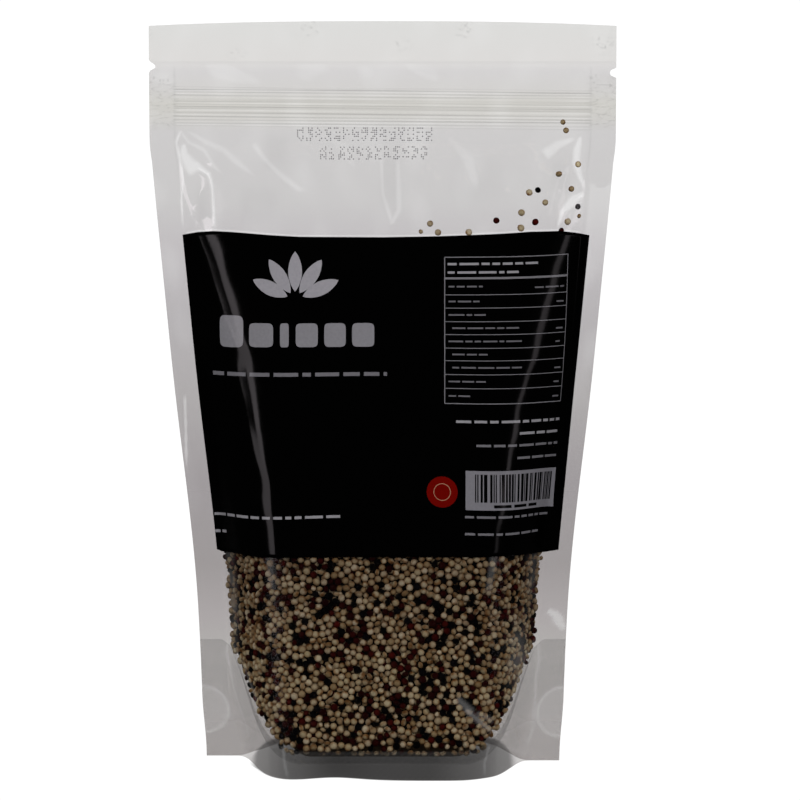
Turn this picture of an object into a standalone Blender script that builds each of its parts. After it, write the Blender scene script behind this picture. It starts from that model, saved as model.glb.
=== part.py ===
"""A stand-up pouch of dry grain, made as one closed solid with a label skin on its front.

The pouch is a flat bag of clear film: two sealed sides, a sealed top with a tear notch at each
end, a zip strip under it, and a folded base that spreads into a boat shape and stands on its rim.
The film can't stretch, so at each height the distance along it from the middle to the side seal
stays the same: where the filling pushes it out, its two sides draw in.
Metres, +Z up, X across the front, the label facing -Y. The origin is under the middle of the base.
"""

import math

import bmesh
import bpy
import numpy as np
from mathutils import Matrix

MM = 0.001

# The flat bag, before it was filled
HEIGHT = 240 * MM
FLAT_WIDTH = 148 * MM
SIDE_SEAL = 8 * MM
SEAL_HALF_THICKNESS = 0.3 * MM

# The zip strip, its ridges, and the tear notches above it
ZIP_BOTTOM = 205 * MM
ZIP_TOP = 218 * MM
ZIP_RISE = 0.45 * MM
ZIP_RIDGES = 3
ZIP_RIDGE_RISE = 0.45 * MM
NOTCH_HEIGHTS = {-1: 224.8 * MM, 1: 222.7 * MM}
NOTCH_DEPTH = 2 * MM
NOTCH_OPENING = 3 * MM
TOP_DROP = 1.5 * MM
TOP_DROP_POWER = 2.5

# The filled belly: its half depth at the floor, and the powers that shape it up the bag
BELLY_HALF_DEPTH = 29.3 * MM
BELLY_TOP = 207 * MM
BELLY_HEIGHT_POWER = 1.8
BELLY_TAPER_POWER = 0.66
BELLY_LEAD_IN = 14 * MM

# A section's outline is (1 - across ** n) ** q: boxy near the floor, softer from the middle up
BOXY_BELOW = 50 * MM
SOFT_ABOVE = 150 * MM
SOFT_N, BOXY_N = 4.0, 8.0
SOFT_Q, BOXY_Q = 1.0, 2.6

# The rim under the base, and the groove between it and the sagging bottom film
RIM_WALL = 1.4 * MM
GROOVE_HEIGHT = 6 * MM
BOTTOM_SAG = 9 * MM

# Soft folds where the film goes from the flat zip to the round belly:
# (start across, start up, end across, end up, half width, rise), in millimetres
FOLDS = [
    (-66, 204, -46, 150, 5.0, -1.3),
    (-66, 200, -57, 158, 4.0, 1.0),
    (-58, 204, -22, 172, 5.0, 0.9),
    (66, 204, 44, 152, 5.0, -1.3),
    (66, 200, 56, 160, 4.0, 1.0),
    (56, 204, 26, 174, 5.0, 0.9),
    (3, 202, 2, 182, 6.0, -0.9),
]

# The label, measured along the film
LABEL_BOTTOM = 70.5 * MM
LABEL_TOP = 171.5 * MM
LABEL_HALF_WIDTH = 67.2 * MM
LABEL_GAP = 0.3 * MM
LABEL_THICKNESS = 0.3 * MM

HALF_FILM = FLAT_WIDTH / 2 - SIDE_SEAL
BODY_COLUMNS = 34
ARC_SAMPLES = 240


def smooth(value, low, high):
    """0 below low, 1 above high, and a smooth S between them."""
    t = np.clip((value - low) / (high - low), 0.0, 1.0)
    return t * t * (3.0 - 2.0 * t)


def half_depth(z):
    """How far the belly's middle stands out of the bag's flat plane at height z."""
    up = np.clip(z / BELLY_TOP, 0.0, 1.0)
    taper = (1.0 - up**BELLY_HEIGHT_POWER) ** BELLY_TAPER_POWER
    return BELLY_HALF_DEPTH * taper * smooth(BELLY_TOP - z, 0.0, BELLY_LEAD_IN)


def section(across, z):
    """The belly's depth at a share `across` of the way from its middle to the side seal."""
    soft = smooth(z, BOXY_BELOW, SOFT_ABOVE)
    n = BOXY_N + (SOFT_N - BOXY_N) * soft
    q = BOXY_Q + (SOFT_Q - BOXY_Q) * soft
    return half_depth(z) * np.clip(1.0 - np.abs(across) ** n, 0.0, 1.0) ** q


def film_length(width, z):
    """Distance along the film from its middle to the seal, for each half width."""
    across = np.sin(np.linspace(0.0, math.pi / 2, ARC_SAMPLES))[:, None]
    x = across * width
    y = section(across, z)
    return np.hypot(np.diff(x, axis=0), np.diff(y, axis=0)).sum(axis=0)


def half_width(z):
    """Half the belly's width at each height, found by halving until the film's length fits."""
    low = np.full_like(z, HALF_FILM / 2)
    high = np.full_like(z, HALF_FILM)
    for _ in range(40):
        middle = (low + high) / 2
        short = film_length(middle, z) < HALF_FILM
        low = np.where(short, middle, low)
        high = np.where(short, high, middle)
    return (low + high) / 2


def fold_relief(x, z):
    """The folds' rise over the belly: a rounded ridge or valley along each line, fading at its ends."""
    rise = np.zeros_like(x)
    for x0, z0, x1, z1, wide, height in FOLDS:
        start, run = np.array([x0, z0]) * MM, np.array([x1 - x0, z1 - z0]) * MM
        length = np.hypot(*run)
        along = ((x - start[0]) * run[0] + (z - start[1]) * run[1]) / length
        off = ((x - start[0]) * run[1] - (z - start[1]) * run[0]) / length
        ends = smooth(along, 0.0, 0.25 * length) * smooth(length - along, 0.0, 0.5 * length)
        rise += height * MM * np.exp(-((off / (wide * MM)) ** 2)) * ends
    return rise


def zip_rise(x, z, seal):
    """The zip strip's step and its ridges, which are pressed flat in the side seals."""
    inside = smooth(z, ZIP_BOTTOM - MM, ZIP_BOTTOM) * smooth(ZIP_TOP + MM - z, 0.0, MM)
    share = np.clip((z - ZIP_BOTTOM) / (ZIP_TOP - ZIP_BOTTOM), 0.0, 1.0)
    ridges = ZIP_RIDGE_RISE * np.sin(math.pi * ZIP_RIDGES * share) ** 2
    pressed = smooth(seal - np.abs(x), 0.0, 2 * MM)
    return inside * (ZIP_RISE + ridges * pressed)


def outer_depth(x, z, seal):
    """The outside of the film, measured from the bag's flat plane."""
    across = np.clip(x / seal, -1.0, 1.0)
    belly = section(across, z)
    room = smooth(belly, 0.0, 4 * MM)
    return SEAL_HALF_THICKNESS + belly + fold_relief(x, z) * room + zip_rise(x, z, seal)


def heights():
    """Row heights: even up the belly, and closer over the rim, the zip strip and the top seal."""
    rim = np.array([0.0, 2.0, 5.0, 9.0]) * MM
    belly = np.linspace(14 * MM, ZIP_BOTTOM - 5 * MM, 34)
    zip_edge = np.array([ZIP_BOTTOM - 2 * MM, ZIP_BOTTOM - MM])
    strip = np.linspace(ZIP_BOTTOM, ZIP_TOP, 4 * ZIP_RIDGES + 1)
    top = np.array([ZIP_TOP + MM, ZIP_TOP + 4 * MM, HEIGHT - 12 * MM, HEIGHT])
    return np.concatenate([rim, belly, zip_edge, strip, top])


def mesh_object(name, points, faces, collection):
    mesh = bpy.data.meshes.new(name)
    mesh.from_pydata(points.tolist(), [], faces)
    mesh.validate()
    mesh.shade_smooth()
    obj = bpy.data.objects.new(name, mesh)
    collection.objects.link(obj)
    return obj


def grid_faces(first, rows, columns, flip=False):
    """Quads of a grid of points stored row by row from index `first`."""
    quads = []
    for r in range(rows - 1):
        for c in range(columns - 1):
            a = first + r * columns + c
            quad = (a, a + 1, a + columns + 1, a + columns)
            quads.append(quad[::-1] if flip else quad)
    return quads


def two_sided(name, front, back, collection):
    """One closed body from two grids of the same size, joined along their four edges."""
    rows, columns = front.shape[:2]
    count = rows * columns
    points = np.concatenate([front.reshape(-1, 3), back.reshape(-1, 3)])
    faces = grid_faces(0, rows, columns) + grid_faces(count, rows, columns, flip=True)
    edge = list(range(columns))
    edge += [r * columns + columns - 1 for r in range(1, rows)]
    edge += [(rows - 1) * columns + c for c in range(columns - 2, -1, -1)]
    edge += [r * columns for r in range(rows - 2, 0, -1)]
    for a, b in zip(edge, edge[1:] + edge[:1]):
        faces.append((b, a, a + count, b + count))
    return mesh_object(name, points, faces, collection)


def pouch_grid():
    """The front half's points: columns from seal to seal, two columns across each side seal."""
    z = heights()
    seal = half_width(z)
    across = np.sin(np.linspace(-math.pi / 2, math.pi / 2, BODY_COLUMNS + 1))
    body = across[None, :] * seal[:, None]
    edge = (seal + SIDE_SEAL)[:, None]
    x = np.concatenate([-edge, body, edge], axis=1)
    rows_z = np.repeat(z[:, None], x.shape[1], axis=1)
    depth = outer_depth(x, rows_z, seal[:, None])
    share = np.abs(x[-1]) / x[-1].max()
    rows_z[-1] -= TOP_DROP * share**TOP_DROP_POWER
    return x, depth, rows_z


def make_pouch(collection):
    x, depth, z = pouch_grid()
    front = np.stack([x, -depth, z], axis=-1)
    back = np.stack([x, depth, z], axis=-1)
    return two_sided("pouch", front, back, collection)


def make_groove(collection):
    """The space between the rim and the bottom film, which sags down to the floor in the middle."""
    columns = np.linspace(-1.0, 1.0, 25)
    rows = np.sin(np.linspace(-math.pi / 2, math.pi / 2, 15))
    seal = half_width(np.array([0.0]))[0]
    x = columns * (seal - 5 * MM)
    wall = section(x / seal, np.zeros_like(x)) - RIM_WALL
    wall = np.maximum(wall, 0.3 * MM)
    y = rows[:, None] * wall[None, :]
    sag = BOTTOM_SAG * (wall / wall.max())[None, :] * (1.0 - np.abs(rows[:, None]) ** 3)
    roof = np.minimum(GROOVE_HEIGHT - sag, GROOVE_HEIGHT)
    grid_x = np.repeat(x[None, :], len(rows), axis=0)
    top = np.stack([grid_x, y, np.maximum(roof, -2 * MM)], axis=-1)
    under = np.stack([grid_x, y, np.full_like(y, -4 * MM)], axis=-1)
    return two_sided("groove_cutter", under[:, ::-1], top[:, ::-1], collection)


def make_notch(side, height, collection):
    """A three-sided prism whose tip cuts one tear notch into the edge of the top."""
    reach = (NOTCH_DEPTH + MM) / 1.5
    spread = NOTCH_OPENING * (1 + MM / NOTCH_DEPTH) / math.sqrt(3)
    tip = side * (FLAT_WIDTH / 2 - NOTCH_DEPTH)
    place = Matrix(
        (
            (0.0, -side * reach, 0.0, tip + side * reach),
            (0.0, 0.0, 6 * MM, 0.0),
            (spread, 0.0, 0.0, height),
            (0.0, 0.0, 0.0, 1.0),
        )
    )
    work = bmesh.new()
    bmesh.ops.create_cone(
        work, cap_ends=True, segments=3, radius1=1.0, radius2=1.0, depth=1.0, matrix=place
    )
    name = "notch_cutter_left" if side < 0 else "notch_cutter_right"
    mesh = bpy.data.meshes.new(name)
    work.to_mesh(mesh)
    work.free()
    notch = bpy.data.objects.new(name, mesh)
    collection.objects.link(notch)
    return notch


def face_outwards(obj):
    """Turns every face of a closed mesh to point out of it."""
    work = bmesh.new()
    work.from_mesh(obj.data)
    bmesh.ops.recalc_face_normals(work, faces=work.faces)
    if work.calc_volume(signed=True) < 0:
        bmesh.ops.reverse_faces(work, faces=work.faces)
    work.to_mesh(obj.data)
    work.free()


def cut(obj, cutter):
    cutter.hide_render = True
    cutter.display_type = "WIRE"
    face_outwards(cutter)
    modifier = obj.modifiers.new(cutter.name, "BOOLEAN")
    modifier.operation = "DIFFERENCE"
    modifier.solver = "EXACT"
    modifier.object = cutter


def make_label(collection):
    """A skin that follows the film a hair in front of it, as wide along the film as it was cut."""
    z = np.linspace(LABEL_BOTTOM, LABEL_TOP, 21)
    seal = half_width(z)
    share = np.sin(np.linspace(0.0, math.pi / 2, ARC_SAMPLES))[:, None]
    run_x = np.concatenate([share * seal, [seal + SIDE_SEAL]])
    run_y = np.concatenate([section(share, z[None, :]), np.zeros((1, len(z)))])
    steps = np.hypot(np.diff(run_x, axis=0), np.diff(run_y, axis=0))
    length = np.concatenate([np.zeros((1, len(z))), np.cumsum(steps, axis=0)])
    half = np.linspace(0.0, LABEL_HALF_WIDTH, 17)
    x = np.array([np.interp(half, length[:, i], run_x[:, i]) for i in range(len(z))])
    x = np.concatenate([-x[:, :0:-1], x], axis=1)
    rows_z = np.repeat(z[:, None], x.shape[1], axis=1)
    film = outer_depth(x, rows_z, seal[:, None])
    slope_x = np.gradient(film, axis=1) / np.gradient(x, axis=1)
    steep = np.sqrt(1.0 + slope_x**2)
    inner = film + LABEL_GAP * steep
    outer = inner + LABEL_THICKNESS * steep
    front = np.stack([x, -outer, rows_z], axis=-1)
    back = np.stack([x, -inner, rows_z], axis=-1)
    return two_sided("label", front, back, collection)


def material(name, colour, roughness, transmission=0.0):
    made = bpy.data.materials.new(name)
    made.use_nodes = True
    shader = made.node_tree.nodes["Principled BSDF"]
    shader.inputs["Base Color"].default_value = (*colour, 1.0)
    shader.inputs["Roughness"].default_value = roughness
    shader.inputs["Metallic"].default_value = 0.0
    shader.inputs["Transmission Weight"].default_value = transmission
    return made


def main():
    for obj in list(bpy.data.objects):
        bpy.data.objects.remove(obj)
    parts = bpy.data.collections.new("stand_up_pouch")
    cutters = bpy.data.collections.new("cutters")
    bpy.context.scene.collection.children.link(parts)
    bpy.context.scene.collection.children.link(cutters)

    pouch = make_pouch(parts)
    face_outwards(pouch)
    cut(pouch, make_groove(cutters))
    for side, height in NOTCH_HEIGHTS.items():
        cut(pouch, make_notch(side, height, cutters))
    label = make_label(parts)
    face_outwards(label)

    pouch.data.materials.append(material("clear_film_over_grain", (0.45, 0.38, 0.29), 0.25))
    label.data.materials.append(material("black_label", (0.012, 0.012, 0.013), 0.45))


main()
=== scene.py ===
"""Looks of a clear stand-up pouch of mixed quinoa with a black label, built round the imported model.

Everything that lies on the film is placed by two flat measures: `across`, the distance along the
film from its middle, and `up`, the height above the floor. Lengths are in millimetres until
`put_mesh` makes them metres.
"""

import math

import bpy
import numpy as np
from mathutils.kdtree import KDTree
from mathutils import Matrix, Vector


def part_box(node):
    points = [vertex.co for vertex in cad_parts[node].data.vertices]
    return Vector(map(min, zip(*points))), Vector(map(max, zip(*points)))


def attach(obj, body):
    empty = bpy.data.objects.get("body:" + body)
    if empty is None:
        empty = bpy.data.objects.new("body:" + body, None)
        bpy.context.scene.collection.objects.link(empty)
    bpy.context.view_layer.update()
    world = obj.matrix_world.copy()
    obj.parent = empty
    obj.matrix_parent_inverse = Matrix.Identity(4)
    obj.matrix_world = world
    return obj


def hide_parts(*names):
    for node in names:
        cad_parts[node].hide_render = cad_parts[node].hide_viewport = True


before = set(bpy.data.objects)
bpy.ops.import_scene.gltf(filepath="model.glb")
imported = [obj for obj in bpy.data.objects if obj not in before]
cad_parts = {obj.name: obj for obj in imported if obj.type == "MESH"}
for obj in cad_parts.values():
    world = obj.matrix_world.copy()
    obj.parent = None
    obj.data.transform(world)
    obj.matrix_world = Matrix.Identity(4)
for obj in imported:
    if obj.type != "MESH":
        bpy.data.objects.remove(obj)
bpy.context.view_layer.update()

MM = 0.001
low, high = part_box("pouch")

# The flat bag, from the frame and the film's own sizes
HEIGHT = (high.z - low.z) / MM
FLAT_HALF = (high.x - low.x) / 2 / MM
SIDE_SEAL = 8.0
HALF_FILM = FLAT_HALF - SIDE_SEAL
PLY_GAP = 0.06
# The top seal's lower edge, and its upper one: how far it is cut down, and bows down at its corners
SEAL_BOTTOM = 226.0
TOP_CUT, TOP_DROP, TOP_DROP_POWER = 0.9, 1.5, 2.5

# The belly's form, by the solid's own rule, with the corners of the foot drawn in a little further
BELLY_HALF_DEPTH = 29.3
BELLY_TOP = 207.0
BELLY_HEIGHT_POWER, BELLY_TAPER_POWER = 1.8, 0.66
BELLY_LEAD_IN = 14.0
BOXY_BELOW, SOFT_ABOVE = 50.0, 150.0
SOFT_N, BOXY_N = 4.0, 8.0
SOFT_Q, BOXY_Q = 1.0, 2.2
FOOT_ROUND, FOOT_N, FOOT_Q = 26.0, 2.0, 3.2

# The base: the height of the bottom film's fold at the side seals, the curve (x, height) along
# which it is sealed to front and back, and how its bends are softened; then the film's slack
GUSSET_FOLD = 40.0
SEAL_LINE = [(0.0, 9.5), (27.0, 9.5), (32.0, 10.4), (36.0, 13.0), (39.5, 17.5), (42.0, 23.0),
             (44.5, 29.5), (50.5, GUSSET_FOLD)]
SEAL_LINE_SHIFTS = (-2.0, -1.0, 0.0, 1.0, 2.0)
SETTLING_ROUNDS = 12
BASE_CLEAR = 0.4
SLACK_FULL, SLACK_NONE = 26.0, 50.0
SLING_POWER = 2.6

# The left corner of the foot stands a little higher than the right one
LEFT_FOOT_RISE = 1.6
LEFT_FOOT_FROM, LEFT_FOOT_FULL, LEFT_FOOT_TOP = 40.0, 62.0, 30.0

# The tear notches at the side edges, and how far in from the edge the film gives way to them
NOTCHES = {-1: 224.8, 1: 222.7}
NOTCH_DEPTH, NOTCH_HALF = 2.0, 1.5
NOTCH_STEEPNESS, NOTCH_REACH = 1.9, 4.0

# The zip strip: its slant, its rounded ribs (height, rise) and how flat it is crushed at its ends
ZIP_BOTTOM, ZIP_TOP = 205.0, 218.0
ZIP_SLANT = 0.01
ZIP_RIBS = [(216.9, 0.30), (215.4, 0.12), (214.0, 0.30), (212.2, 0.22), (210.6, 0.50), (209.2, 0.30),
            (207.9, 0.42), (206.5, 0.22)]
ZIP_RIB_HALF, ZIP_BAND_RISE = 0.42, 0.30
ZIP_CRUSH_FROM, ZIP_CRUSHED = 3.0, 0.25
# Painted shade in its fine grooves (height, half width, depth), and the heights of the painted gleams between
# them
ZIP_GROOVE_SHADES = [(217.6, 0.14, 0.07), (216.9, 0.16, 0.22), (216.0, 0.16, 0.13), (215.0, 0.17, 0.13),
             (213.6, 0.5, 0.06), (213.0, 0.14, 0.10), (212.1, 0.16, 0.17), (211.5, 0.16, 0.22),
             (210.9, 0.16, 0.15), (209.4, 0.22, 0.20), (208.3, 0.16, 0.19), (207.3, 0.16, 0.18),
             (206.1, 0.18, 0.10), (205.3, 0.15, 0.06)]
ZIP_GLEAMS = [216.45, 215.5, 214.3, 212.55, 210.3, 208.85, 207.8, 206.7, 205.7]
ZIP_GROOVE_SHADE_DEPTH, ZIP_GLEAM_CLEAR, ZIP_GLEAM_HALF = 0.85, 0.30, 0.20
# How they sway and fade along the strip: middle, swing, run, longer by, turned by for each line
ZIP_SWAY = (0.0, 0.10, 17.0, 3.1, 1.7)
ZIP_FADE = (0.72, 0.28, 9.0, 1.3, 2.3)
ZIP_GLEAM_FADE = (0.6, 0.4, 11.0, 1.7, 1.1)

# Uneven waves over the film: seed, shortest and longest wavelength, how many, height
FRONT_SWELL = (3, 9.0, 34.0, 14, 0.10)
BACK_SWELL = (7, 9.0, 34.0, 14, 0.10)
CRUMPLE = (11, 2.0, 5.0, 10, 0.035)
SHEEN_VEIL_PATCHES = (19, 3.0, 9.0, 10, 0.35)
RAGGED_END = (23, 3.0, 9.0, 8, 3.0)
CLOUDING = (5, 6.0, 22.0, 12, 0.07)
CRINKLES = (31, 1.4, 4.0, 14, 1.0)
BAND_TONES = (43, 5.0, 16.0, 8, 1.0)
SEAL_PATCHES = (38, 10.0, 30.0, 8, 1.0)
SEAL_WRINKLES = (37, 1.6, 3.4, 12, 1.0)

# Creases under the zip strip that bend the film and glint as well: points (across, up)
LEFT_EDGE = [(-63.7, 205.2), (-65.6, 200.7), (-65.2, 198.2), (-64.5, 188.7), (-65.7, 182.2), (-66.3, 172)]
LEFT_SHORT = [(-64.3, 204.5), (-61.8, 200.8), (-56.7, 198.3), (-53.6, 193.5), (-50.4, 190.4)]
LEFT_LONG = [(-62.4, 204.5), (-56.1, 200.8), (-50.3, 198.4), (-45.2, 194.2), (-39.5, 190)]
LEFT_INNER = [(-41.4, 200.9), (-37.6, 196.1), (-32.5, 191.3), (-26.1, 186.4), (-22.9, 187)]
MIDDLE_LOOP = [(-0.5, 198.5), (0.1, 185.2), (3.0, 176.5), (5.2, 180.2), (4.5, 201.5)]
RIGHT_EDGE = [(62.9, 203), (61.8, 198.2), (61.8, 194.5), (63.5, 190), (66.2, 184.8)]
RIGHT_SHORT = [(51.2, 196.7), (55.6, 199.9), (61.3, 202)]

# Painted glints along creases: points (across, up), half widths along them, how clear, how milky (white laid
# over dark seeds)
SHEEN_LINES = [
    (LEFT_EDGE, (0.4, 0.5, 0.4, 0.5), 0.9, 0),
    ([(-63.2, 200.5), (-63.3, 196.8), (-61.6, 193.5), (-59.8, 190.2)], (0.4, 1.5, 2.3, 1.9), 1.0, 0),
    ([(-60.6, 194.6), (-58.3, 192.7), (-55.4, 190.9), (-54.5, 187.8), (-54.3, 182.8), (-53.9, 172)],
     (1.2, 0.7, 0.45, 0.5, 0.6), 1.0, 0),
    (LEFT_SHORT, (0.3, 0.6, 0.4), 0.5, 0),
    (LEFT_LONG, (0.3, 0.8, 1.0, 0.4), 0.4, 0),
    (LEFT_INNER, (1.0, 0.6, 0.9, 0.5), 0.45, 0),
    (MIDDLE_LOOP, (0.4, 0.5, 0.9, 0.5), 0.4, 0),
    (RIGHT_EDGE, (0.3, 1.2, 1.2, 0.7, 0.3), 1.0, 0),
    ([(65.9, 184.4), (62, 182.6), (57.8, 178.8), (56.3, 173)], (0.8, 1.7, 0.7, 0.5), 1.0, 0),
    (RIGHT_SHORT, (1.9, 1.3, 0.4), 0.75, 0),
    ([(20, 203), (27, 196), (30, 186)], (0.6, 1.8, 0.8), 0.25, 0),
    ([(-20, 203.5), (-12, 199), (-8, 192)], (0.5, 1.5, 0.5), 0.2, 0),
    ([(-71, 119.5), (-72, 108.2), (-73.4, 95.2)], (0.4, 0.4), 0.8, 0),
    ([(-65.0, 39.7), (-65.6, 35.7), (-63.6, 26.7), (-61, 20.5), (-55, 6.9), (-53.4, 3.3)],
     (0.5, 0.6), 0.35, 0.05),
    ([(-64.1, 40.7), (-59.8, 37.2), (-52.8, 33.4), (-46.2, 27.2), (-41.2, 20.2)], (0.5, 0.8), 0.45, 0.12),
    ([(-31.7, 10.8), (-42, 9.2), (-60.2, 4.2), (-66, 2.1)], (0.5, 0.5), 0.15, 0.02),
    ([(-32.0, 11.1), (-31.4, 5.0), (-30.3, 0.2)], (0.5, 0.4), 0.6, 0.12),
    ([(65.0, 39.8), (65.6, 33.1), (64.4, 26.7), (64.8, 16.1), (65, 10.8), (62.4, 2)],
     (0.5, 0.6), 0.35, 0.05),
    ([(64.4, 41), (57.2, 36.8), (46.6, 26.2), (42.3, 18.2)], (0.5, 0.7), 0.4, 0.10),
    ([(33.8, 12.7), (45, 8.2), (61.7, 2.8), (65.8, 1.1)], (0.5, 0.5), 0.2, 0.02),
    ([(34.8, 11.0), (32.8, 5.0), (33.0, 0.2)], (0.5, 0.4), 0.6, 0.12),
    ([(67.4, 49.4), (70.2, 48.0), (73.6, 42.5)], (0.6, 1.7, 0.6), 1.0, 0.35),
    ([(23.4, 26.8), (28.9, 21.4)], (0.9, 1.4), 0, 0.15),
    ([(26, 23.2), (31, 18.8), (36.4, 14.4)], (0.6, 0.9, 0.5), 0, 0.20),
    ([(29.6, 21.9), (36.6, 18.2)], (0.6, 0.9), 0, 0.12),
    ([(-36.4, 72), (-35.4, 60)], (1.4, 1.0), 0, 0.07),
    ([(35.8, 72), (33.4, 59)], (1.4, 1.0), 0, 0.09),
]
# Painted sheen: pale veils where the film's sides turn away, laid on as white haze: across, up, half widths,
# strength
SHEEN_VEILS = [(-60.0, 55.0, 3.4, 15.0, 0.13), (50.0, 37.0, 6.5, 9.0, 0.14), (58.5, 62.0, 4.5, 8.0, 0.08)]
# Painted shade on soft facets of the upper film: across, up, half widths, strength
SHADED_FACETS = [(-39.0, 181.0, 6.0, 6.0, 0.05), (-34.0, 198.0, 4.0, 5.0, 0.05), (2.4, 190.0, 2.6, 8.0, 0.05),
          (-57.0, 181.0, 3.0, 6.0, 0.06), (30.0, 190.0, 8.0, 7.0, 0.03), (57.0, 190.0, 3.0, 5.0, 0.04)]

# How strongly each mark on the film shows, as a share
TACK_CLEAR, TACK_RIM_CLEAR, TACK_RIM_DARK, TACK_RIM_HALF = 0.12, 0.30, 0.05, 0.5
WELD_MILKY, WELD_WEAVE, WEAVE_PITCH = 0.035, 0.35, 2.2
# The foot's two shadows are painted shade of the filling, darkest on the back, and its paler sides are
# painted light
WELD_DARK, FRONT_FOOT_SHADOW, BACK_FOOT_SHADOW = 0.04, 0.06, 0.30
SKIRT_SIDE_LIGHT = 0.34
# The bright line over the label's edge and the right seal's ragged shine are painted highlights
LABEL_RIM_HIGHLIGHT, LABEL_RIM_LIFT, LABEL_RIM_HALF = 0.8, 0.35, 0.28
RIGHT_SEAL_SHINE, RIGHT_SEAL_TOP = 0.45, 187.0
# Painted shade in the crinkled corners, along the seals' edges and in the top seal's wrinkles, and painted
# glints on the crinkles
CORNER_DARK, CRINKLE_DARK, CRINKLE_GLINT = 0.02, 0.09, 0.08
SEAL_EDGE_DARK, TOP_SEAL_EDGE_DARK, SEAL_EDGE_HALF = 0.03, 0.02, 0.35
BAND_TONE_CLEAR, WRINKLE_DARK = 0.16, 0.10

# The sticker's outline on the film: its edges wave a little, because creases bend the film
LABEL_BOTTOM, LABEL_TALL = 70.5, 101.0
LABEL_LEFT, LABEL_RIGHT = -66.5, 68.6
# Its right edge runs further out by a spread, from one height downwards over a reach
LABEL_SPREAD, LABEL_SPREAD_TOP, LABEL_SPREAD_REACH = 1.0, 130.0, 60.0
LABEL_HEAD = [(-66.6, 171.1), (-60.2, 172.4), (-54.6, 173.0), (-49.1, 173.0), (-43.7, 172.8),
              (-35.0, 172.3), (-26.1, 171.9), (0.8, 171.8), (18.1, 172.1), (37.2, 172.7),
              (47.0, 173.1), (57.4, 172.9), (63.3, 172.0), (68.6, 171.0)]
LABEL_FOOT = [(-67.0, 69.6), (-64.7, 68.9), (-51.8, 70.1), (-41.4, 70.7), (-26.1, 71.6), (0.8, 71.8),
              (24.5, 71.7), (37.8, 71.4), (65.3, 68.6), (69.7, 69.3)]
# Its gap from the film, a hair so that the two never meet, and its thickness
LABEL_LIFT, LABEL_THICK = 0.16, 0.1

# Print on the bulged film: how far its lines droop and spread, and from which heights and places;
# then its gap from the label and the gap of print from print under it
PRINT_DROOP, DROOP_TOP, DROOP_REACH = 4.2, 170.0, 80.0
PRINT_SPREAD, SPREAD_TOP, SPREAD_FROM, SPREAD_FULL = 0.001, 143.0, 30.0, 60.0
PRINT_CLEAR, OVERPRINT_CLEAR = 0.05, 0.04
# The sprig: its foot and its leaves' gap from it, length, width and leans in degrees
SPRIG_FOOT, LEAF_GAP, LEAF_LENGTH, LEAF_WIDTH = (-27.6, 152.4), 2.6, 12.4, 4.4
LEAF_LEANS = (-66, -34, 0, 34, 66)
# The row of heavy blocks: left, right, bottom, top
HEAVY_BLOCKS = [(-53.4, -44.6, 137.6, 147.4), (-42.6, -34.6, 137.8, 145.2), (-32.4, -29.6, 137.8, 145.2),
                (-27.4, -20.4, 137.8, 145.2), (-18.4, -11.6, 137.8, 145.2), (-9.6, -2.6, 137.8, 145.2)]
# Lines of small print: left, right, middle height, size
FINE_LINES = [(-57.1, 1.4, 129.3, 1.9), (29.6, 62.4, 107.3, 1.2), (43.2, 62.4, 103.4, 1.2),
              (26.0, 60.6, 85.0, 1.2), (26.0, 55.6, 79.6, 1.2)]
BOLD_LINES = [(23.2, 62.4, 114.7, 1.3), (44.0, 62.4, 111.0, 1.3), (-62.4, -13.4, 84.8, 1.4),
              (-62.4, -56.6, 79.2, 1.5)]
# The table: left, right, bottom, top, its rules' heights, and half thicknesses of its lines
TABLE_PRINT = (19.6, 62.2, 120.3, 165.6)
TABLE_RULES = [159.1, 154.0, 149.9, 145.7, 141.7, 137.5, 133.6, 129.3, 125.0]
TABLE_FRAME_HALF, HEAD_RULE_HALF, RULE_HALF = 0.14, 0.32, 0.11
# Its head lines (right end from the left edge, depth from the top) and its rows' right ends
TABLE_HEADS = [(31.0, 2.1), (24.0, 4.7)]
TABLE_HEAD_SIZE, TABLE_TEXT_SIZE = 1.15, 0.8
TABLE_REACHES = (12, 11, 13, 24, 25, 14, 25, 13, 8)
INDENTED_ROWS, ROWS_WITHOUT_VALUE = (3, 5, 6), (2, 5)
FIRST_VALUE_WIDE, VALUE_WIDE = 11.5, 3.0
# The striped panel: left, right, bottom, top, and the widths of its stripes and gaps
PANEL_PRINT = (26.2, 62.9, 87.2, 99.5)
STRIPE_WIDTHS, STRIPE_GAPS = [0.36, 0.36, 0.72, 1.08], [0.34, 0.34, 0.68, 0.9]
# The disc: its middle, radius, and the ring on it
DISC_MIDDLE, DISC_RADIUS, DISC_RING = (18.8, 92.6), 4.9, (2.5, 2.75)
# The ink jet's stamp: rows as left, how many clusters, top; the clusters' and the dots' spacing
STAMP_ROWS = [(-27.0, 15, 205.1), (-19.8, 12, 198.7)]
STAMP_PITCH, DOT_ACROSS, DOT_DOWN = 2.92, 0.56, 0.68
DOT_ROWS, DOT_COLUMNS, DOT_SHARE, DOT_RADIUS = 7, 4, 0.44, 0.20

# The filling: its level, which the label hides, and the seeds' mean radius, spread and flatness
FILL_TOP = 104.0
SEED_RADIUS, SEED_SPREAD, SEED_FLATNESS = 1.12, 0.10, 0.64
RNG = np.random.default_rng(41)

# Heat seals at the foot that hold front and back together: half discs at the outer edges
TACKS = {-1: 16.3, 1: 16.0}
TACK_RADIUS = 8.0

# The camera, in metres and degrees, and the photograph's scale
CAMERA_AWAY, CAMERA_UP, CAMERA_DOWN = 1.6, 0.363, 8.71
CAMERA_ACROSS = 0.0055
FOCAL_PIXELS = 5061.0
FRAME_PIXELS = 800
SENSOR_WIDTH = 36.0

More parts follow.
